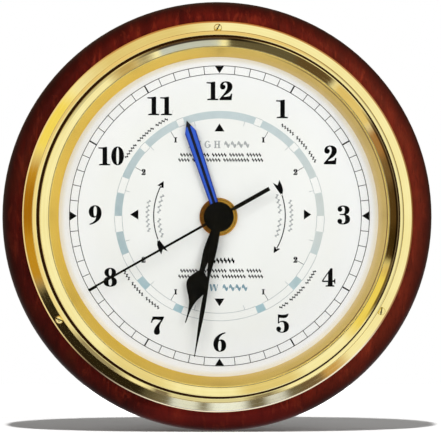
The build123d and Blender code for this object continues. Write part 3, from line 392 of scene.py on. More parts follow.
def ink(name, low, high):
    """Matt, slightly patchy ink between two tones."""
    g = Graph(name)
    patchy = g.noise(260, 3, 0.6)
    colour = g.mix(g.rise(patchy, 0.35, 0.65), srgb(*low), srgb(*high))
    g.set(Base_Color=colour, Roughness=g.spread(patchy, 0.45, 0.6), Specular_IOR_Level=0.02)
    return g.material


def hand_axes(g, clockwise):
    """Across and along a hand that rests at an angle clockwise from 12, in metres."""
    x, _, z = g.axes()
    sine, cosine = polar(1, clockwise)
    across = g.minus(g.times(x, cosine), g.times(z, sine))
    along = g.plus(g.times(x, sine), g.times(z, cosine))
    return across, along


TIDE_ANGLE = -18.4


def blue_lacquer():
    """Blue hand with darker edges, a black stripe down its middle and a black tip."""
    g = Graph("hand_blue")
    across, along = hand_axes(g, TIDE_ANGLE)
    off = g.math("ABSOLUTE", across)
    patch = g.noise(120, 3, 0.5)
    colour = g.mix(patch, srgb(40, 78, 186), srgb(52, 94, 204))
    half_width = g.plus(g.times(along, 0.0206), 0.00205)
    colour = g.tint(colour, (12, 22, 104), 1, g.minus(half_width, off), 0.0008, 0.0001)
    colour = g.tint(colour, (5, 7, 22), 1, off, 0.0009, 0.0006)
    colour = g.tint(colour, (8, 8, 14), 1, along, 0.0488, 0.0494)
    g.set(Base_Color=colour, Roughness=g.spread(patch, 0.28, 0.4), Specular_IOR_Level=0.2)
    return g.material


def black_lacquer():
    g = Graph("hand_black")
    patch = g.noise(150, 3, 0.5)
    fine = g.noise(1400, 2, 0.5)
    colour = g.mix(g.spread(patch, 0, 1), srgb(4, 4, 3), srgb(15, 13, 6))
    g.set(Base_Color=colour, Roughness=g.spread(fine, 0.26, 0.38), Specular_IOR_Level=0.05)
    g.bump(fine, 0.000004, 0.3)
    return g.material


def board():
    """Green solder resist with a few paler tracks under it."""
    g = Graph("circuit_green")
    place = g.mapped((330, 330, 330), (math.pi / 2, 0, 0))
    tracks = g.node("TexBrick", {"Vector": place, "Mortar Size": 0.09, "Scale": 1.0}).outputs["Fac"]
    tone = g.noise(300, 3, 0.6)
    colour = g.mix(tone, srgb(20, 84, 46), srgb(28, 104, 58))
    colour = g.mix(g.times(tracks, 0.7), colour, srgb(66, 140, 82))
    g.set(Base_Color=colour, Roughness=g.spread(tone, 0.25, 0.4))
    return g.material


def battery_jacket():
    """Plain jacket: graphite body with a copper coloured band and bare ends."""
    g = Graph("battery_jacket")
    x = g.axes()[0]
    scuff = g.noise(240, 4, 0.65)
    body = g.mix(scuff, srgb(38, 40, 44), srgb(58, 60, 64))
    band = g.times(g.math("GREATER_THAN", x, 0.0105), g.math("LESS_THAN", x, 0.0243))
    colour = g.mix(band, body, g.mix(scuff, srgb(178, 112, 58), srgb(196, 132, 74)))
    bare = g.math("ADD", g.math("GREATER_THAN", x, 0.0246), g.math("LESS_THAN", x, -0.0236), clamp=True)
    colour = g.mix(bare, colour, srgb(196, 194, 188))
    g.set(Base_Color=colour, Metallic=g.spread(bare, 0.35, 1.0, 0, 1), Roughness=g.spread(scuff, 0.25, 0.42))
    return g.material


def copper_wire():
    """Fine enamelled wire: turns side by side along the coil."""
    g = Graph("copper_winding")
    inputs = {"Vector": g.place, "Scale": 1600, "Distortion": 0.6}
    turns = g.node("TexWave", inputs, wave_type="BANDS", bands_direction="X", wave_profile="SIN")
    tone = turns.outputs["Fac"]
    g.set(Base_Color=g.mix(tone, srgb(118, 52, 22), srgb(206, 118, 62)), Metallic=0.85, Roughness=0.32)
    g.bump(tone, 0.00005, 0.8)
    return g.material


# The material of every node of the CAD
for material, names in (
    (mahogany(), "wood_base"),
    (brass_graph("brass_polished", *POLISHED).material,
     "case_shell flange_screws bezel_ring glass_retainer threaded_bushing"),
    (satin_cone(), "rehaut_ring"),
    (nut_brass(), "dial_nut"),
    (glass_clear(), "glass"),
    (enamel(), "dial_plate"),
    (blue_lacquer(), "tide_hand"),
    (black_lacquer(), "hour_hand minute_hand second_hand"),
    (metal("steel_plain", (150, 150, 148), (186, 185, 182), (0.22, 0.36)),
     "hanger_screws cover_screws stator quartz_crystal"),
    (metal("steel_zinc", (188, 180, 150), (214, 206, 180), (0.28, 0.42)),
     "hanger_plate contact_positive contact_negative"),
    (plastic("plastic_black", (24, 24, 26), (36, 36, 38), (0.42, 0.58)),
     "movement_housing rear_cover timing_chip"),
    (plastic("plastic_white", (216, 214, 206), (232, 230, 224), (0.26, 0.36), 700, 0.000006),
     "train_plate coil_bobbin cannon_pinion motion_wheel hour_wheel tide_idler tide_wheel set_knob"),
    (plastic("plastic_amber", (196, 148, 74), (218, 172, 98), (0.26, 0.36), 700, 0.000006),
     "seconds_wheel intermediate_wheel third_wheel centre_wheel"),
    (plastic("rubber_black", (20, 20, 20), (32, 32, 31), (0.7, 0.85), 500, 0.00003),
     "dial_washer glass_gasket"),
    (copper_wire(), "coil_winding"),
    (metal("ferrite", (52, 52, 54), (72, 72, 74), (0.5, 0.65), 200), "rotor"),
    (board(), "circuit_board"),
    (battery_jacket(), "battery"),
):
    for name in names.split():
        dress(nodes[name].data, material)


def bend(centre, radius, start, end, steps):
    """Points of an arc of a profile; 0 degrees points outward and 90 to the front."""
    points = []
    for i in range(steps + 1):
        angle = math.radians(start + (end - start) * i / steps)
        points.append((centre[0] + radius * math.cos(angle), centre[1] + radius * math.sin(angle)))
    return points


TURN_STEPS = 480
EDGE_LOOP = 0.06
LONG_LINE = 6 * EDGE_LOOP
SHARP_ANGLE = 30


def held(profile):
    """The profile with a point close to both ends of each long line, which keeps its shading straight."""
    points = []
    for (ax, ay), (bx, by) in zip(profile, profile[1:] + profile[:1]):
        points.append((ax, ay))
        length = math.hypot(bx - ax, by - ay)
        if length > LONG_LINE:
            for share in (EDGE_LOOP / length, 1 - EDGE_LOOP / length):
                points.append((ax + (bx - ax) * share, ay + (by - ay) * share))
    return points


def turned(name, node, body, material, profile):
    """A piece turned on the hands' axis from a closed profile of radii and depths, in place of a node."""
    profile = held(profile)
    count = len(profile)
    points, faces = [], []
    for i in range(TURN_STEPS):
        ahead = (i + 1) % TURN_STEPS
        for j, (radius, front) in enumerate(profile):
            x, z = polar(radius * MM, 360 * i / TURN_STEPS)
            points.append((x, -front * MM, z))
            after = (j + 1) % count
            faces.append((i * count + j, i * count + after, ahead * count + after, ahead * count + j))
    mesh = bpy.data.meshes.new(name)
    mesh.from_pydata(points, [], faces)
    work = bmesh.new()
    work.from_mesh(mesh)
    bmesh.ops.recalc_face_normals(work, faces=work.faces)
    work.to_mesh(mesh)
    work.free()
    mesh.shade_smooth()
    mesh.set_sharp_from_angle(angle=math.radians(SHARP_ANGLE))
    dress(mesh, material)
    piece = added(name, mesh)
    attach(piece, body)
    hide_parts(node)


def shaded_bezel_brass():
    """Polished brass with painted shade in the groove and along the lip, a painted dark reflection on the
    face's outer edge, and painted dark reflections on places of the bead.
    """
    g = brass_graph("brass_bezel", *POLISHED)
    radius = turned_radius(g)
    x, y, z = g.axes()
    # Painted shade in the groove and along the inner lip, which is also made rougher.
    groove = g.band(radius, 0.09264, 0.0927, 0.09395, 0.09405)
    groove = g.times(groove, g.rise(y, -0.040, -0.036))
    lip = g.band(radius, 0.08791, 0.08797, 0.08818, 0.08824)
    painted_shade = g.larger(groove, g.times(lip, g.spread(y, 0, 0.85, -0.0420, -0.0421)))
    # Painted reflection: a dark line along the face's outer edge at the top, the right and the upper left.
    edge = g.times(g.rise(radius, 0.0911, 0.0915), g.spread(y, 0, 0.95, -0.0420, -0.0428))
    top = g.rise(g.plus(g.math("DIVIDE", z, radius), g.times(x, -1.2)), 0.92, 0.98)
    beside = g.math("ABSOLUTE", g.minus(z, 0.010))
    right = g.spread(g.minus(g.math("DIVIDE", x, radius), beside), 0, 0.9, 0.750, 0.822)
    angle = ring_angle(g)
    upper_left_reflection = g.times(sector(g, angle, 312, 4, 16), 0.4)
    painted_reflection_sides = g.larger(g.larger(top, right), upper_left_reflection)
    dark = g.larger(painted_shade, g.times(edge, painted_reflection_sides))
    bezel_tone = g.fed("Base Color")
    gloss = g.fed("Roughness")
    # Painted reflections: dark brown places on the bead at the bottom and lower left.
    painted_bead_reflection = 0.0
    for clockwise, full, none, strength in (
        (184, 17, 20, 0.28), (166, 2, 9, 0.78), (198, 1.5, 4.5, 0.86), (221, 6, 13, 0.72),
    ):
        painted_bead_reflection = g.larger(painted_bead_reflection, g.times(sector(g, angle, clockwise, full, none), strength))
    painted_bead_reflection = g.times(painted_bead_reflection, g.rise(radius, 0.0942, 0.0946))
    bezel_tone = g.mix(painted_bead_reflection, bezel_tone, srgb(84, 58, 28))
    g.set(Base_Color=g.mix(dark, bezel_tone, srgb(72, 42, 14)), Roughness=g.plus(gloss, g.times(painted_shade, 0.4)))
    return g.material


# The flange screws: place clockwise from 12, turn of the slot, and strength of the darker ring round the head
SCREW_RING = 97.7 * MM
SCREW_REACH = 0.01
SCREWS = ((0, 62, 0.85), (120, 20, 0.15), (237, 35, 0.85))


def screw_brass():
    g = brass_graph("brass_screws", *POLISHED)
    x, _, z = g.axes()
    tone = g.fed("Base Color")
    for clockwise, _, strength in SCREWS:
        right, up = polar(SCREW_RING, clockwise)
        away = g.length(g.minus(x, right), g.minus(z, up))
        # A darker ring round the rim of each head.
        edge = g.times(g.spread(away, 0, strength, 0.00155, 0.00195), g.math("LESS_THAN", away, SCREW_REACH))
        tone = g.mix(edge, tone, srgb(140, 96, 34))
    g.set(Base_Color=tone)
    return g.material


screw_mesh = nodes["flange_screws"].data.copy()
screw_mesh.name = "screws_turned"
for vertex in screw_mesh.vertices:
    for clockwise, twist, _ in SCREWS:
        right, up = polar(SCREW_RING, clockwise)
        axis = Vector((right, 0, up))
        off = vertex.co - axis
        if math.hypot(off.x, off.z) < SCREW_REACH:
            vertex.co = axis + Matrix.Rotation(-math.radians(twist), 3, "Y") @ off
            break
dress(screw_mesh, screw_brass())
screws = added("screws_turned", screw_mesh)
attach(screws, "case")
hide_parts("flange_screws")

# The case: a ledge for the dial, a wall, and a flange that rises to it from a rounded lip
LIP_RADIUS = 0.8
LIP = (101.25 - LIP_RADIUS, 18.664)
turned("case_turned", "case_shell", "case", case_brass(), [
    (92.2, 20.0), (92.2, 37.7), (91.2, 37.7), (91.2, 29.2), (86.5, 29.2), (86.5, 28.2), (91.2, 28.2),
    (91.2, 18.0), (101.25, 18.0), *bend(LIP, LIP_RADIUS, 0, 86.3, 12),
])

# The bezel: a skirt with a bead, a groove, a face that falls to its lip, and small rounded edges
BEAD_RADIUS = 3.193
BEAD = (96.3 - BEAD_RADIUS, 24.9)
turned("bezel_turned", "bezel_ring", "bezel", shaded_bezel_brass(), [
    *bend((92.3, 43.2), 0.4, 0, 100.05, 12),
    *bend((88.27, 42.45), 0.4, 100.05, 180, 8),
    (87.87, 42.0), (92.25, 42.0), (92.25, 20.3), (94.2, 20.3), (94.2, 21.9),
    *bend(BEAD, BEAD_RADIUS, -70, 70, 20),
    (93.75, 27.9), (93.75, 26.6), (92.7, 26.6),
])

# Inks of the dial
black_ink = ink("ink_black", (4, 4, 4), (10, 10, 10))
grey_ink = ink("ink_grey", (150, 156, 160), (168, 174, 177))
word_ink = ink("ink_words", (164, 166, 166), (180, 182, 182))
deep_ink = ink("ink_deep", (118, 148, 162), (134, 162, 175))
fine_ink = ink("ink_fine", (26, 26, 27), (40, 39, 39))


def tide_ink():
    """Blue-grey of the tide ring: palest on the right, greyest on the left, bluest at the bottom."""
    g = Graph("ink_tide")
    x, _, z = g.axes()
    patchy = g.noise(260, 3, 0.6)
    colour = g.mix(g.rise(x, -0.05, 0.05), srgb(166, 183, 188), srgb(202, 207, 205))
    colour = g.tint(colour, (190, 202, 205), 1, z, 0.01, 0.05)
    colour = g.tint(colour, (160, 189, 198), 1, z, -0.01, -0.045)
    colour = g.tint(colour, (214, 222, 224), 0.25, patchy, 0.35, 0.65)
    g.set(Base_Color=colour, Roughness=g.spread(patchy, 0.45, 0.6), Specular_IOR_Level=0.06)
    return g.material


blue_ink = tide_ink()


# Print on the dial: closed outlines in millimetres, filled and given the thickness of ink
INK_THICKNESS = 0.02
PRINT_RIGHT = 0.5
PRINT_UP = 0.5
CIRCLE_STEPS = 240


def arc(radius, start, end, step=2.0):
    count = max(2, math.ceil(abs(end - start) / step) + 1)
    return [polar(radius, start + (end - start) * i / (count - 1)) for i in range(count)]


def circle(radius):
    return [polar(radius, 360 * i / CIRCLE_STEPS) for i in range(CIRCLE_STEPS)]


def ring_part(inner, outer, start, end):
    return arc(outer, start, end) + arc(inner, end, start)


def stroke(points, width):
    """A band of even width along points."""
    left, right = [], []
    for i, (x, y) in enumerate(points):
        ax, ay = points[max(i - 1, 0)]
        bx, by = points[min(i + 1, len(points) - 1)]
        length = math.hypot(bx - ax, by - ay)
        nx, ny = -(by - ay) / length * width / 2, (bx - ax) / length * width / 2
        left.append((x + nx, y + ny))
        right.append((x - nx, y - ny))
    return left + right[::-1]


def bar(clockwise, inner, outer, width):
    """A radial stroke."""
    return stroke([polar(inner, clockwise), polar(outer, clockwise)], width)


def printed(name, loops, material, bolder=0.0):
    """One printed piece on the dial from closed loops; a loop inside another is a hole."""
    curve = bpy.data.curves.new(name, "CURVE")
    curve.dimensions = "2D"
    curve.fill_mode = "BOTH"
    curve.extrude = INK_THICKNESS / 2 * MM
    curve.offset = bolder * MM
    for loop in loops:
        spline = curve.splines.new("POLY")
        spline.points.add(len(loop) - 1)
        for point, (x, y) in zip(spline.points, loop):
            point.co = (x * MM, y * MM, 0, 1)
        spline.use_cyclic_u = True
    source = added(name + "_outline", curve)
    bpy.context.view_layer.update()
    mesh = bpy.data.meshes.new_from_object(source.evaluated_get(bpy.context.evaluated_depsgraph_get()))
    bpy.data.objects.remove(source)
    bpy.data.curves.remove(curve)
    depth = (DIAL_FRONT + INK_THICKNESS / 2) * MM
    upright = Matrix.Rotation(math.pi / 2, 4, "X")
    mesh.transform(Matrix.Translation((PRINT_RIGHT * MM, -depth, PRINT_UP * MM)) @ upright)
    dress(mesh, material)
    mesh.name = name
    piece = added(name, mesh)
    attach(piece, "case")


# Figures drawn with strong thick and thin strokes, about 186 units high.
# A pair is the end of a straight line; six numbers are two control points and the end of a curve.
FIGURES = {
    "1": [[
        (6, 0), (114, 0), (114, 8), (112, 0), (114, 10), (84, 15), (84, 182), (70, 182),
        (40, 176, 30, 176, 0, 178), (0, 167), (41, 164), (41, 15), (6, 10),
    ]],
    "2": [[
        (2, 0), (119, 0), (125, 61), (112, 62), (110, 44, 104, 38, 92, 36),
        (70, 33, 52, 30, 37, 33), (62, 58, 128, 84, 128, 134), (128, 166, 100, 186, 62, 186),
        (30, 186, 5, 166, 5, 136), (5, 118, 18, 106, 32, 106), (47, 106, 58, 117, 58, 131),
        (58, 145, 46, 153, 34, 153), (36, 166, 46, 176, 58, 176), (72, 176, 79, 162, 79, 136),
        (79, 100, 48, 66, 0, 12),
    ]],
    "3": [[
        (24, 103), (24, 93), (58, 93), (74, 93, 78, 76, 78, 48), (78, 22, 68, 9, 50, 9),
        (45, 9, 41, 11, 38, 14), (43, 20, 45, 26, 45, 32), (45, 46, 35, 54, 22, 54),
        (8, 54, 0, 44, 0, 31), (0, 12, 22, 0, 54, 0), (96, 0, 124, 18, 124, 51),
        (124, 80, 104, 94, 78, 98), (102, 103, 119, 120, 119, 146), (119, 172, 92, 187, 56, 187),
        (24, 187, 2, 173, 2, 150), (2, 137, 12, 127, 25, 127), (38, 127, 47, 137, 47, 149),
        (47, 158, 42, 165, 35, 169), (40, 176, 48, 178, 55, 178), (68, 178, 75, 165, 75, 144),
        (75, 116, 68, 103, 50, 103),
    ]],
    "4": [[
        (36, 0), (121, 0), (121, 9), (103, 14), (103, 46), (116, 46), (120, 44, 123, 38, 123, 30),
        (131, 30), (131, 76), (123, 76), (123, 68, 120, 62, 114, 60), (103, 60), (103, 181),
        (84, 181), (0, 60), (0, 46), (58, 46), (58, 14), (36, 9),
    ], [(15, 60), (58, 60), (58, 126)]],
    "5": [[
        (16, 182), (50, 174, 96, 176, 120, 190), (118, 164, 104, 146, 72, 146), (28, 150), (26, 106),
        (38, 114, 52, 118, 64, 118), (102, 118, 125, 94, 125, 60), (125, 22, 98, 0, 58, 0),
        (24, 0, 0, 16, 0, 38), (0, 51, 10, 60, 23, 60), (37, 60, 46, 50, 46, 38),
        (46, 29, 41, 22, 34, 18), (40, 11, 48, 8, 56, 8), (74, 8, 80, 26, 80, 58),
        (80, 94, 72, 107, 54, 107), (42, 107, 32, 102, 25, 93), (16, 93),
    ]],
    "6": [[
        (118, 193), (56, 184, 0, 140, 0, 78), (0, 30, 28, 0, 63, 0), (100, 0, 126, 26, 126, 62),
        (126, 98, 104, 122, 74, 122), (66, 122, 59, 119, 53, 114), (56, 150, 82, 174, 118, 183),
    ], [
        (63, 8), (50, 8, 46, 28, 46, 58), (46, 90, 51, 110, 64, 110), (76, 110, 80, 92, 80, 60),
        (80, 28, 76, 8, 63, 8),
    ]],
    "7": [[
        (20, 180), (131, 180), (131, 172), (112, 126, 85, 108, 85, 64), (85, 50, 90, 42, 90, 28),
        (90, 10, 77, 0, 61, 0), (44, 0, 32, 11, 32, 28), (32, 62, 60, 96, 104, 146),
        (82, 145, 56, 158, 32, 150), (22, 146, 15, 136, 13, 120), (1, 121),
    ]],
    "8": [[
        (66, 0), (108, 0, 132, 20, 132, 48), (132, 72, 114, 88, 92, 97), (112, 105, 123, 121, 123, 141),
        (123, 168, 98, 186, 66, 186), (34, 186, 9, 168, 9, 141), (9, 120, 22, 106, 40, 97),
        (16, 88, 0, 72, 0, 48), (0, 20, 24, 0, 66, 0),
    ], [
        (66, 103), (54, 110, 50, 124, 50, 142), (50, 164, 55, 178, 66, 178), (77, 178, 82, 164, 82, 142),
        (82, 124, 78, 110, 66, 103),
    ], [
        (66, 90), (78, 82, 84, 68, 84, 47), (84, 22, 78, 8, 66, 8), (54, 8, 48, 22, 48, 47),
        (48, 68, 54, 82, 66, 90),
    ]],
    "0": [[
        (62, 0), (98, 0, 124, 40, 124, 93), (124, 146, 98, 186, 62, 186), (26, 186, 0, 146, 0, 93),
        (0, 40, 26, 0, 62, 0),
    ], [
        (62, 8), (51, 8, 47, 40, 47, 93), (47, 146, 51, 178, 62, 178), (73, 178, 77, 146, 77, 93),
        (77, 40, 73, 8, 62, 8),
    ]],
}
# A 9 is a 6 turned half round
FIGURES["9"] = FIGURES["6"]
FIGURE_WIDTHS = dict(zip("0123456789", (124, 116, 126, 124, 131, 125, 126, 131, 132, 126)))
FIGURE_GAP = 12
FIGURE_HEIGHT = 186
NINE_TOP = FIGURE_HEIGHT + 4
CURVE_STEPS = 8


def drawn(loop):
    """Points of a loop of lines and cubic curves."""
    points = [loop[0]]
    for step in loop[1:]:
        if len(step) == 2:
            points.append(step)
            continue
        x0, y0 = points[-1]
        x1, y1, x2, y2, x3, y3 = step
        for i in range(1, CURVE_STEPS + 1):
            t = i / CURVE_STEPS
            s = 1 - t
            points.append((
                s ** 3 * x0 + 3 * s * s * t * x1 + 3 * s * t * t * x2 + t ** 3 * x3,
                s ** 3 * y0 + 3 * s * s * t * y1 + 3 * s * t * t * y2 + t ** 3 * y3,
            ))
    if math.hypot(points[-1][0] - points[0][0], points[-1][1] - points[0][1]) < 1e-6:
        points.pop()
    return points


def number(text, x, y, unit):
    """Loops of a number centred at (x, y), with its units in millimetres."""
    width = sum(FIGURE_WIDTHS[c] for c in text) + FIGURE_GAP * (len(text) - 1)
    at = -width / 2
    loops = []
    for c in text:
        for loop in FIGURES[c]:
            points = drawn(loop)
            if c == "9":
                points = [(FIGURE_WIDTHS["9"] - px, NINE_TOP - py) for px, py in points]
            loops.append([(x + (at + px) * unit, y + (py - FIGURE_HEIGHT / 2) * unit) for px, py in points])
        at += FIGURE_WIDTHS[c] + FIGURE_GAP
    return loops


# Minute track and hour figures
TRACK_OUTER = 77.5
TRACK_INNER = 73.3
THIN = 0.36
HOUR_TICK = 0.75
QUARTER_HALF = 2.3392
QUARTER_TIP = TRACK_INNER + 0.35
HOUR_UNIT = 0.0518
HOUR_BOLDER = 0.07
tick_ends = (TRACK_INNER + THIN / 2, TRACK_OUTER - THIN / 2)
track = [circle(radius + side * THIN / 2) for radius in (TRACK_OUTER, TRACK_INNER) for side in (1, -1)]
printed("minute_track", track, fine_ink)
ticks = [bar(minute * 6, *tick_ends, THIN) for minute in range(60) if minute % 5]
printed("minute_ticks", ticks, fine_ink)
hours = [bar(hour * 30, *tick_ends, HOUR_TICK) for hour in range(12) if hour % 3]
lean = math.degrees(QUARTER_HALF / TRACK_OUTER)
for quarter in (0, 90, 180, 270):
    hours.append([
        polar(tick_ends[1], quarter - lean), polar(tick_ends[1], quarter + lean), polar(QUARTER_TIP, quarter)
    ])
printed("hour_marks", hours, black_ink)

# The place of the dial's centre in the photograph, from which places on the dial are read
DIAL_PIXEL = (219.0, 215.8)


def at_pixel(x, y):
    return (x - DIAL_PIXEL[0]) * MM_PER_PIXEL, (DIAL_PIXEL[1] - y) * MM_PER_PIXEL


hour_places = {
    "12": (219, 91), "1": (281.5, 109), "2": (329.5, 155), "3": (343, 215), "4": (328, 277), "5": (282, 323),
    "6": (219.3, 342), "7": (157, 325), "8": (110, 277), "9": (95, 215), "10": (111, 156), "11": (159.5, 106),
}
for text, place in hour_places.items():
    printed("hour_" + text, number(text, *at_pixel(*place), HOUR_UNIT), black_ink, HOUR_BOLDER)

# Tide ring: blocks, thin lines between them, and ticks inside it
RING_OUTER = 54.2
RING_INNER = 50.3
HALF_LINE = 0.11
TICKS_START = RING_INNER - 0.1
blocks = [(-20.5, 20.5)]
for start, end in ((24.5, 45.5), (49.5, 68), (77, 90), (99, 112), (128, 135), (153.5, 158.5)):
    blocks += [(start, end), (-end, -start)]
printed("tide_blocks", [ring_part(RING_INNER, RING_OUTER, a, b) for a, b in blocks], blue_ink)
gaps = []
edges = sorted(blocks)
for (_, end), (start, _) in zip(edges, edges[1:] + [(edges[0][0] + 360, 0)]):
    for radius in (RING_OUTER, RING_INNER):
        gaps.append(ring_part(radius - HALF_LINE, radius + HALF_LINE, end, start))
printed("tide_outline", gaps, grey_ink)
faint, plain = [], []
for step in range(24):
    angle = step * 15
    if step % 2:
        faint.append(bar(angle, RING_INNER - 2.4, TICKS_START, 0.24))
    elif step % 6:
        plain.append(bar(angle, RING_INNER - 3.6, TICKS_START, 0.26))
printed("tide_ticks", faint, grey_ink)
printed("tide_lines", plain, fine_ink)

# Black triangles inside the ring, pointing outward: middle of the base, and tip
POINT_HALF = 2.6
marks = []
for (cx, cy), tip in (
    ((0, 43.6), (0, 47.7)), ((0, -42.7), (0, -46.7)),
    ((-41.9, 0.7), (-46.2, 0.7)), ((43.6, 0.7), (47.4, 0.7)),
):
    dx, dy = tip[0] - cx, tip[1] - cy
    length = math.hypot(dx, dy)
    nx, ny = -dy / length * POINT_HALF, dx / length * POINT_HALF
    marks.append([(cx + nx, cy + ny), (cx - nx, cy - ny), tip])
printed("tide_points", marks, black_ink)


# Two clockwise arrows for the rising and the falling tide. Both outlines are distances from the arc, with
# angles from the tail for the fletching and from the tip for the head.
ARROW_RADIUS = 34.0
SHAFT_WIDTH = 0.55
FLETCHING = (
    (-1.6, -0.4), (-0.1, 3.9), (2.1, 0.6), (1.9, 5.6), (1.5, 9.4), (0.25, 13.4), (-0.25, 13.4), (-0.8, 10.6),
    (-1.5, 5.1),
)
HEAD = ((0.0, 0.4), (1.75, -5.6), (0.2, -5.0), (-1.75, -5.0))


def arrow(name, tail, tip):
    loops = [stroke(arc(ARROW_RADIUS, tail + 12, tip - 4, 1.0), SHAFT_WIDTH)]
    for outline, end in ((FLETCHING, tail), (HEAD, tip)):
        loops.append([polar(ARROW_RADIUS + out, end + turn) for out, turn in outline])
    printed(name, loops, black_ink)


arrow("arrow_rising", -124.2, -58.4)
arrow("arrow_falling", 58.4, 124.2)


# Plain words on the two ends of the tide, and rows of wavelets
def oval(width, height, inset_x, inset_y, angles):
    """Points at angles of an oval in a box from (0, 0), smaller by the insets on each side."""
    rx, ry = width / 2 - inset_x, height / 2 - inset_y
    return [(width / 2 + rx * math.cos(a), height / 2 + ry * math.sin(a)) for a in map(math.radians, angles)]


def letter(shape, x, y, height, thick, thin):
    """Upright capital letters of bars, with slab ends; returns loops and the width."""
    slab = thick * 0.75
    stem, edge, foot, top = slab / 2, slab / 2 + thick, slab + thick, height - thin
    if shape == "H":
        width = height * 0.86
        low = height * 0.47
        high = low + thin
        far_stem, far_edge, far_foot = width - stem, width - edge, width - foot
        loops = [[
            (0, 0), (foot, 0), (foot, thin), (edge, thin), (edge, low), (far_edge, low), (far_edge, thin),
            (far_foot, thin), (far_foot, 0), (width, 0), (width, thin), (far_stem, thin), (far_stem, top),
            (width, top), (width, height), (far_foot, height), (far_foot, top), (far_edge, top),
            (far_edge, high), (edge, high), (edge, top), (foot, top), (foot, height), (0, height), (0, top),
            (stem, top), (stem, thin), (0, thin),
        ]]
    elif shape == "I":
        width = foot
        loops = [[
            (0, 0), (foot, 0), (foot, thin), (edge, thin), (edge, top), (foot, top), (foot, height),
            (0, height), (0, top), (stem, top), (stem, thin), (0, thin),
        ]]
    elif shape == "L":
        width = height * 0.68
        rise = height * 0.34
        loops = [[
            (0, 0), (width, 0), (width, rise), (width - thin, rise), (width - thin * 2, thin), (edge, thin),
            (edge, top), (foot, top), (foot, height), (0, height), (0, top), (stem, top), (stem, thin),
            (0, thin),
        ]]
    elif shape == "O":
        width = height * 0.82
        angles = [360 * i / 32 for i in range(32)]
        loops = [oval(width, height, 0, 0, angles), oval(width, height, thick, thin, angles)]
    elif shape == "G":
        width = height * 0.84
        step, back = height * 0.4, width - thick * 1.7
        outer = oval(width, height, 0, 0, range(40, 321, 10))
        inner = oval(width, height, thick, thin, range(320, 39, -10))
        loops = [outer + [
            (width, height * 0.16), (width, step + thin), (back, step + thin), (back, step),
            (width - thick, step), (width - thick, height * 0.2),
        ] + inner]
    elif shape == "W":
        width = height * 1.22
        q = width / 4
        notch = height * 0.24
        loops = [[
            (0, height), (q - thick / 2, 0), (q + thin / 2, 0), (2 * q, height - notch),
            (3 * q - thick / 2, 0), (3 * q + thin / 2, 0), (width, height), (width - thin, height),
            (3 * q + thin / 2, notch), (2 * q + thick * 0.75, height), (2 * q - thick * 0.45, height),
            (q + thick / 2, notch), (thick * 1.15, height),
        ]]
    return [[(x + px, y + py) for px, py in loop] for loop in loops], width


# Widths of a word's strokes, as shares of its height
THICK_SHARE = 0.22
THIN_SHARE = 0.11


def word(text, x, y, height, space):
    """Loops of a word centred at (x, y)."""
    strokes = height, height * THICK_SHARE, height * THIN_SHARE
    widths = [letter(c, 0, 0, *strokes)[1] for c in text]
    at = x - (sum(widths) + space * (len(text) - 1)) / 2
    loops = []
    for c, width in zip(text, widths):
        loops += letter(c, at, y - height / 2, *strokes)[0]
        at += width + space
    return loops


def along_line(centre):
    """Turns a distance along a level line and one above it into a point."""
    return lambda u, v: (centre[0] + u, centre[1] + v)


def along_arc(radius, middle):
    """Turns a distance clockwise along an arc and one outside it into a point."""
    return lambda u, v: polar(radius + v, middle + math.degrees(u / radius))


# Room between groups of waves, in waves; steps of one wave, and the share of its pitch that it fills
WAVE_GAP = 0.8
WAVE_STEPS = 12
WAVE_FILL = 0.84


def waves(groups, width, amplitude, thickness, place):
    """Short separate waves in groups along a line, thickest in their middle."""
    pitch = width / (sum(groups) + WAVE_GAP * (len(groups) - 1))
    loops = []
    at = -width / 2
    for size in groups:
        for _ in range(size):
            upper, lower = [], []
            for i in range(WAVE_STEPS + 1):
                u = at + pitch * ((1 - WAVE_FILL) / 2 + WAVE_FILL * i / WAVE_STEPS)
                v = amplitude * math.sin(2 * math.pi * i / WAVE_STEPS)
                half = thickness * (0.3 + 0.2 * math.sin(math.pi * i / WAVE_STEPS))
                upper.append(place(u, v + half))
                lower.append(place(u, v - half))
            loops.append(upper + lower[::-1])
            at += pitch
        at += pitch * WAVE_GAP
    return loops


SMALL_RING = 45.3
SMALL_UNIT = 0.0155
ones = []
for angle in (30, -30, 150, -150):
    x, y = polar(SMALL_RING, angle)
    ones += letter("I", x - 0.75, y - 1.35, 2.7, 0.85, 0.42)[0]
printed("tide_ones", ones, black_ink)
twos = []
for angle in (60, -60, 120, -120):
    twos += number("2", *polar(SMALL_RING, angle), SMALL_UNIT)
printed("tide_twos", twos, black_ink, 0.1)
for name, text, px, py, height, space, side_px, width, material in (
    ("word_high", "HIGH", 204, 144.6, 3.8, 1.75, 236.2, 13.4, word_ink),
    ("word_low", "LOW", 204.8, 287.4, 3.6, 1.7, 234.4, 13.2, deep_ink),
):
    loops = word(text, *at_pixel(px, py), height, space)
    loops += waves((4,), width, 0.9, 2.1, along_line(at_pixel(side_px, py)))
    printed(name, loops, material)
rows = []
for py, width, groups in (
    (155.0, 42.0, (6, 3, 5, 5, 5)), (160.1, 44.0, (4, 4, 5, 9, 4)),
    (270.5, 42.0, (6, 3, 5, 5, 5)), (276.2, 44.0, (4, 3, 5, 8, 5)),
):
    rows += waves(groups, width, 0.5, 1.3, along_line(at_pixel(220.2, py)))
rows += waves((8,), 15.6, 0.7, 2.0, along_line(at_pixel(219.2, 260.4)))
printed("wave_rows", rows, black_ink)
WAVE_RING = 56.9
outer = []
for start, end, groups in (
    (-58.5, -28, (5, 6, 4)), (34, 61, (5, 5, 4)), (119.5, 147, (5, 6, 3)), (-147, -120, (5, 5, 3)),
):
    width = math.radians(end - start) * WAVE_RING
    outer += waves(groups, width, 0.45, 1.05, along_arc(WAVE_RING, (start + end) / 2))
printed("wave_arcs", outer, fine_ink)
side_rows = []
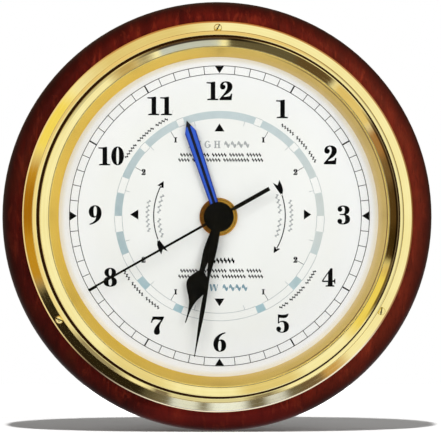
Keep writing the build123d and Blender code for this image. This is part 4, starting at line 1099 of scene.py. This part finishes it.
for side in (-1, 1):
    for radius, width, groups in ((31.3, 23, (4, 4)), (37.2, 17, (7,))):
        side_rows += waves(groups, width, 0.55, 1.2, along_arc(radius, side * 90))
printed("wave_sides", side_rows, word_ink)


# Floor: pale, flat under the clock, with a slight rise behind it on which its soft shadow shows
FLOOR_HALF = 2.5
RISE_START = 0.005
RISE_END = 0.24
RISE = 0.0032
FALL_END = 0.9
FALL = 0.02
FLOOR_GAP = 0.0001


def grey(value):
    return value, value, value


def floor_material():
    """Pale floor that glows away from the clock, throws little light on it, and is clear in mirrors."""
    g = Graph("floor_pale")
    g.set(Base_Color=g.mix(g.noise(3, 4, 0.5), grey(0.44), grey(0.46)), Roughness=0.9, Specular_IOR_Level=0.1)
    x, y, _ = g.axes()
    glow = g.node("Emission", {"Strength": g.rise(g.length(x, y), 0.26, 0.45)})
    lit = g.node("AddShader", {0: g.shader.outputs[0], 1: glow.outputs[0]})
    dim = g.node("BsdfDiffuse", {"Color": grey(0.25)})
    clear = g.node("BsdfTransparent")
    seen = g.chosen("Diffuse", lit.outputs[0], dim.outputs[0])
    g.feed(g.output.inputs["Surface"], g.chosen("Glossy", seen, clear.outputs[0]))
    return g.material


def eased(share):
    share = min(max(share, 0.0), 1.0)
    return share * share * (3 - 2 * share)


def floor_height(y):
    rise = RISE * eased((y - RISE_START) / (RISE_END - RISE_START))
    return rise - FALL * eased((y - RISE_END) / (FALL_END - RISE_END))


levels = [-FLOOR_HALF, -0.6, -0.1]
levels += [RISE_START + (RISE_END - RISE_START) * i / 12 for i in range(13)]
levels += [RISE_END + (FALL_END - RISE_END) * i / 8 for i in range(1, 9)]
levels += [FLOOR_HALF]
base = PLAQUE_BOTTOM - FLOOR_GAP
grid = [(side * FLOOR_HALF, y, base + floor_height(y)) for y in levels for side in (-1, 1)]
faces = [(2 * i, 2 * i + 1, 2 * i + 3, 2 * i + 2) for i in range(len(levels) - 1)]
floor_mesh = bpy.data.meshes.new("floor")
floor_mesh.from_pydata(grid, [], faces)
floor_mesh.shade_smooth()
dress(floor_mesh, floor_material())
floor = added("floor", floor_mesh)


# World: white behind the object, even light on it, and a studio with darker places for its gloss
AMBIENT = 0.36
world = bpy.data.worlds.new("studio")
bpy.context.scene.world = world
world.use_nodes = True
world.node_tree.nodes.clear()
sky = Tree(world.node_tree, "Generated")


def patch(right, up, full, none):
    """1 within full degrees of a direction, 0 beyond none degrees; right and up are measured from ahead."""
    tilt, turn = math.radians(math.hypot(right, up)), math.atan2(right, up)
    centre = math.sin(tilt) * math.sin(turn), -math.cos(tilt), math.sin(tilt) * math.cos(turn)
    dot = sky.node("VectorMath", {0: sky.place, 1: centre}, operation="DOT_PRODUCT")
    return sky.rise(dot.outputs["Value"], math.cos(math.radians(none)), math.cos(math.radians(full)))


# Degrees off straight ahead that the flange mirrors, outward, and the face of the bezel, inward
FLANGE_TILT = 8.1
FACE_TILT = -19.5


def mirrored(tilt, clockwise):
    """The direction that a ring mirrors at a place on it, clockwise from 12."""
    right, up = polar(tilt, clockwise)
    return right - CAMERA_AZIMUTH, up - CAMERA_ELEVATION


# The studio darkens from ahead to behind, with a white table below, warm on the left and above it
right_hand, depth, height = sky.axes()
studio = sky.ramp(
    sky.rise(depth, -1, 1),
    (0.0, grey(1.0)), (0.35, grey(1.0)), (0.5, grey(0.78)), (0.62, grey(0.5)), (0.75, (0.34, 0.28, 0.2)),
)
table = sky.times(sky.rise(height, -0.05, -0.4), sky.rise(depth, 0.1, 0.5))
table = sky.larger(table, sky.rise(height, -0.42, -0.6))
studio = sky.mix(table, studio, grey(1.0))
studio = sky.mix(sky.rise(right_hand, -0.6, -0.9), studio, (0.95, 0.83, 0.64))
ABOVE_UP, ABOVE_LEFT = 0.966, 0.259
above = sky.minus(sky.times(height, ABOVE_UP), sky.times(right_hand, ABOVE_LEFT))
studio = sky.mix(sky.rise(above, 0.5, 0.75), studio, (0.86, 0.69, 0.46))
# Places in it that the brass mirrors, ring by ring: clockwise from 12, full and outer size in degrees, colour
for tilt, places in (
    (FACE_TILT, (
        (20, 5.6, 6.2, (0.12, 0.105, 0.09)), (33, 2.2, 3.0, (0.12, 0.08, 0.05)),
        (350, 3.2, 3.8, (0.55, 0.63, 1.05)), (359, 0.5, 1.1, (0.74, 0.83, 1.25)),
        (328, 1.0, 2.8, (0.55, 0.42, 0.26)), (335, 0.5, 1.5, (0.25, 0.2, 0.17)),
        (50, 2.6, 3.4, (0.8, 0.65, 0.4)), (67, 2.0, 3.4, (0.38, 0.2, 0.1)),
        (76, 1.6, 3.0, (0.18, 0.11, 0.06)), (92, 4.0, 5.4, (0.085, 0.047, 0.018)),
        (98, 1.0, 2.4, (0.045, 0.025, 0.008)), (119, 3.0, 5.5, (0.9, 0.76, 0.26)),
        (108, 0.5, 1.3, (0.58, 0.37, 0.12)), (163, 2.5, 4.5, (0.8, 0.7, 0.48)),
        (208, 2.5, 5.0, (0.88, 0.82, 0.68)),
    )),
    (1.22 * FLANGE_TILT, ((176, 4.2, 5.1, (0.16, 0.14, 0.13)),)),
    (FLANGE_TILT, (
        (336, 1.5, 3.6, (0.8, 0.69, 0.48)), (299, 0.9, 1.9, (0.95, 0.8, 0.24)),
        (268, 2.3, 3.3, (0.55, 0.3, 0.03)), (273, 0.5, 1.4, (0.4, 0.17, 0.01)),
        (144, 0.3, 1.1, (0.6, 0.37, 0.17)), (150, 0.35, 0.7, (0.16, 0.11, 0.09)),
        (225, 3.0, 3.7, (0.022, 0.016, 0.01)), (162, 0.3, 0.6, (0.74, 0.82, 1.4)),
        (177, 0.6, 1.0, (0.92, 1.05, 1.85)), (190, 0.45, 0.75, (0.82, 0.92, 1.5)),
    )),
    (0.0, ((0, 1.8, 2.7, (0.01, 0.01, 0.01)),)),
):
    for clockwise, full, none, colour in places:
        studio = sky.mix(patch(*mirrored(tilt, clockwise), full, none), studio, colour)
light = sky.node("LightPath").outputs
shown = sky.mix(light["Is Glossy Ray"], grey(AMBIENT), studio)
behind = sky.math("GREATER_THAN", depth, 0.0)
shown = sky.mix(sky.times(light["Is Transmission Ray"], behind), shown, grey(1.0))
shown = sky.mix(light["Is Camera Ray"], shown, grey(1.0))
world.cycles.sampling_method = "NONE"
background = sky.node("Background", {"Color": shown})
sky.node("OutputWorld", {"Surface": background.outputs[0]})


# Power that lights a facing surface fully, for a lamp at one metre
FULL = math.pi * math.pi


def lamp(name, elevation, azimuth, distance, size, share):
    """A soft rectangular lamp that faces the clock and gives a share of full light."""
    data = bpy.data.lights.new(name, "AREA")
    data.shape = "RECTANGLE"
    data.size, data.size_y = size
    data.energy = share * FULL * distance ** 2
    made = added(name, data)
    out = toward(azimuth, elevation)
    made.location = out * distance
    made.rotation_mode = "QUATERNION"
    made.rotation_quaternion = out.to_track_quat("Z", "Y")
    made.visible_glossy = False
    return made


lamp("right", 22, 30, 2.5, (1.5, 1.1), 0.36)
lamp("left", 22, -32, 2.5, (1.5, 1.1), 0.34)
lamp("top", 70, 10, 2.0, (0.9, 0.9), 0.10)

# A strong far lamp for the floor alone, which makes it white but for the clock's shadow
over = lamp("over_floor", 43, -2.85, 14.0, (0.30, 0.55), 2.6)
floor_only = bpy.data.collections.new("floor_only")
floor_only.objects.link(floor)
over.light_linking.receiver_collection = floor_only
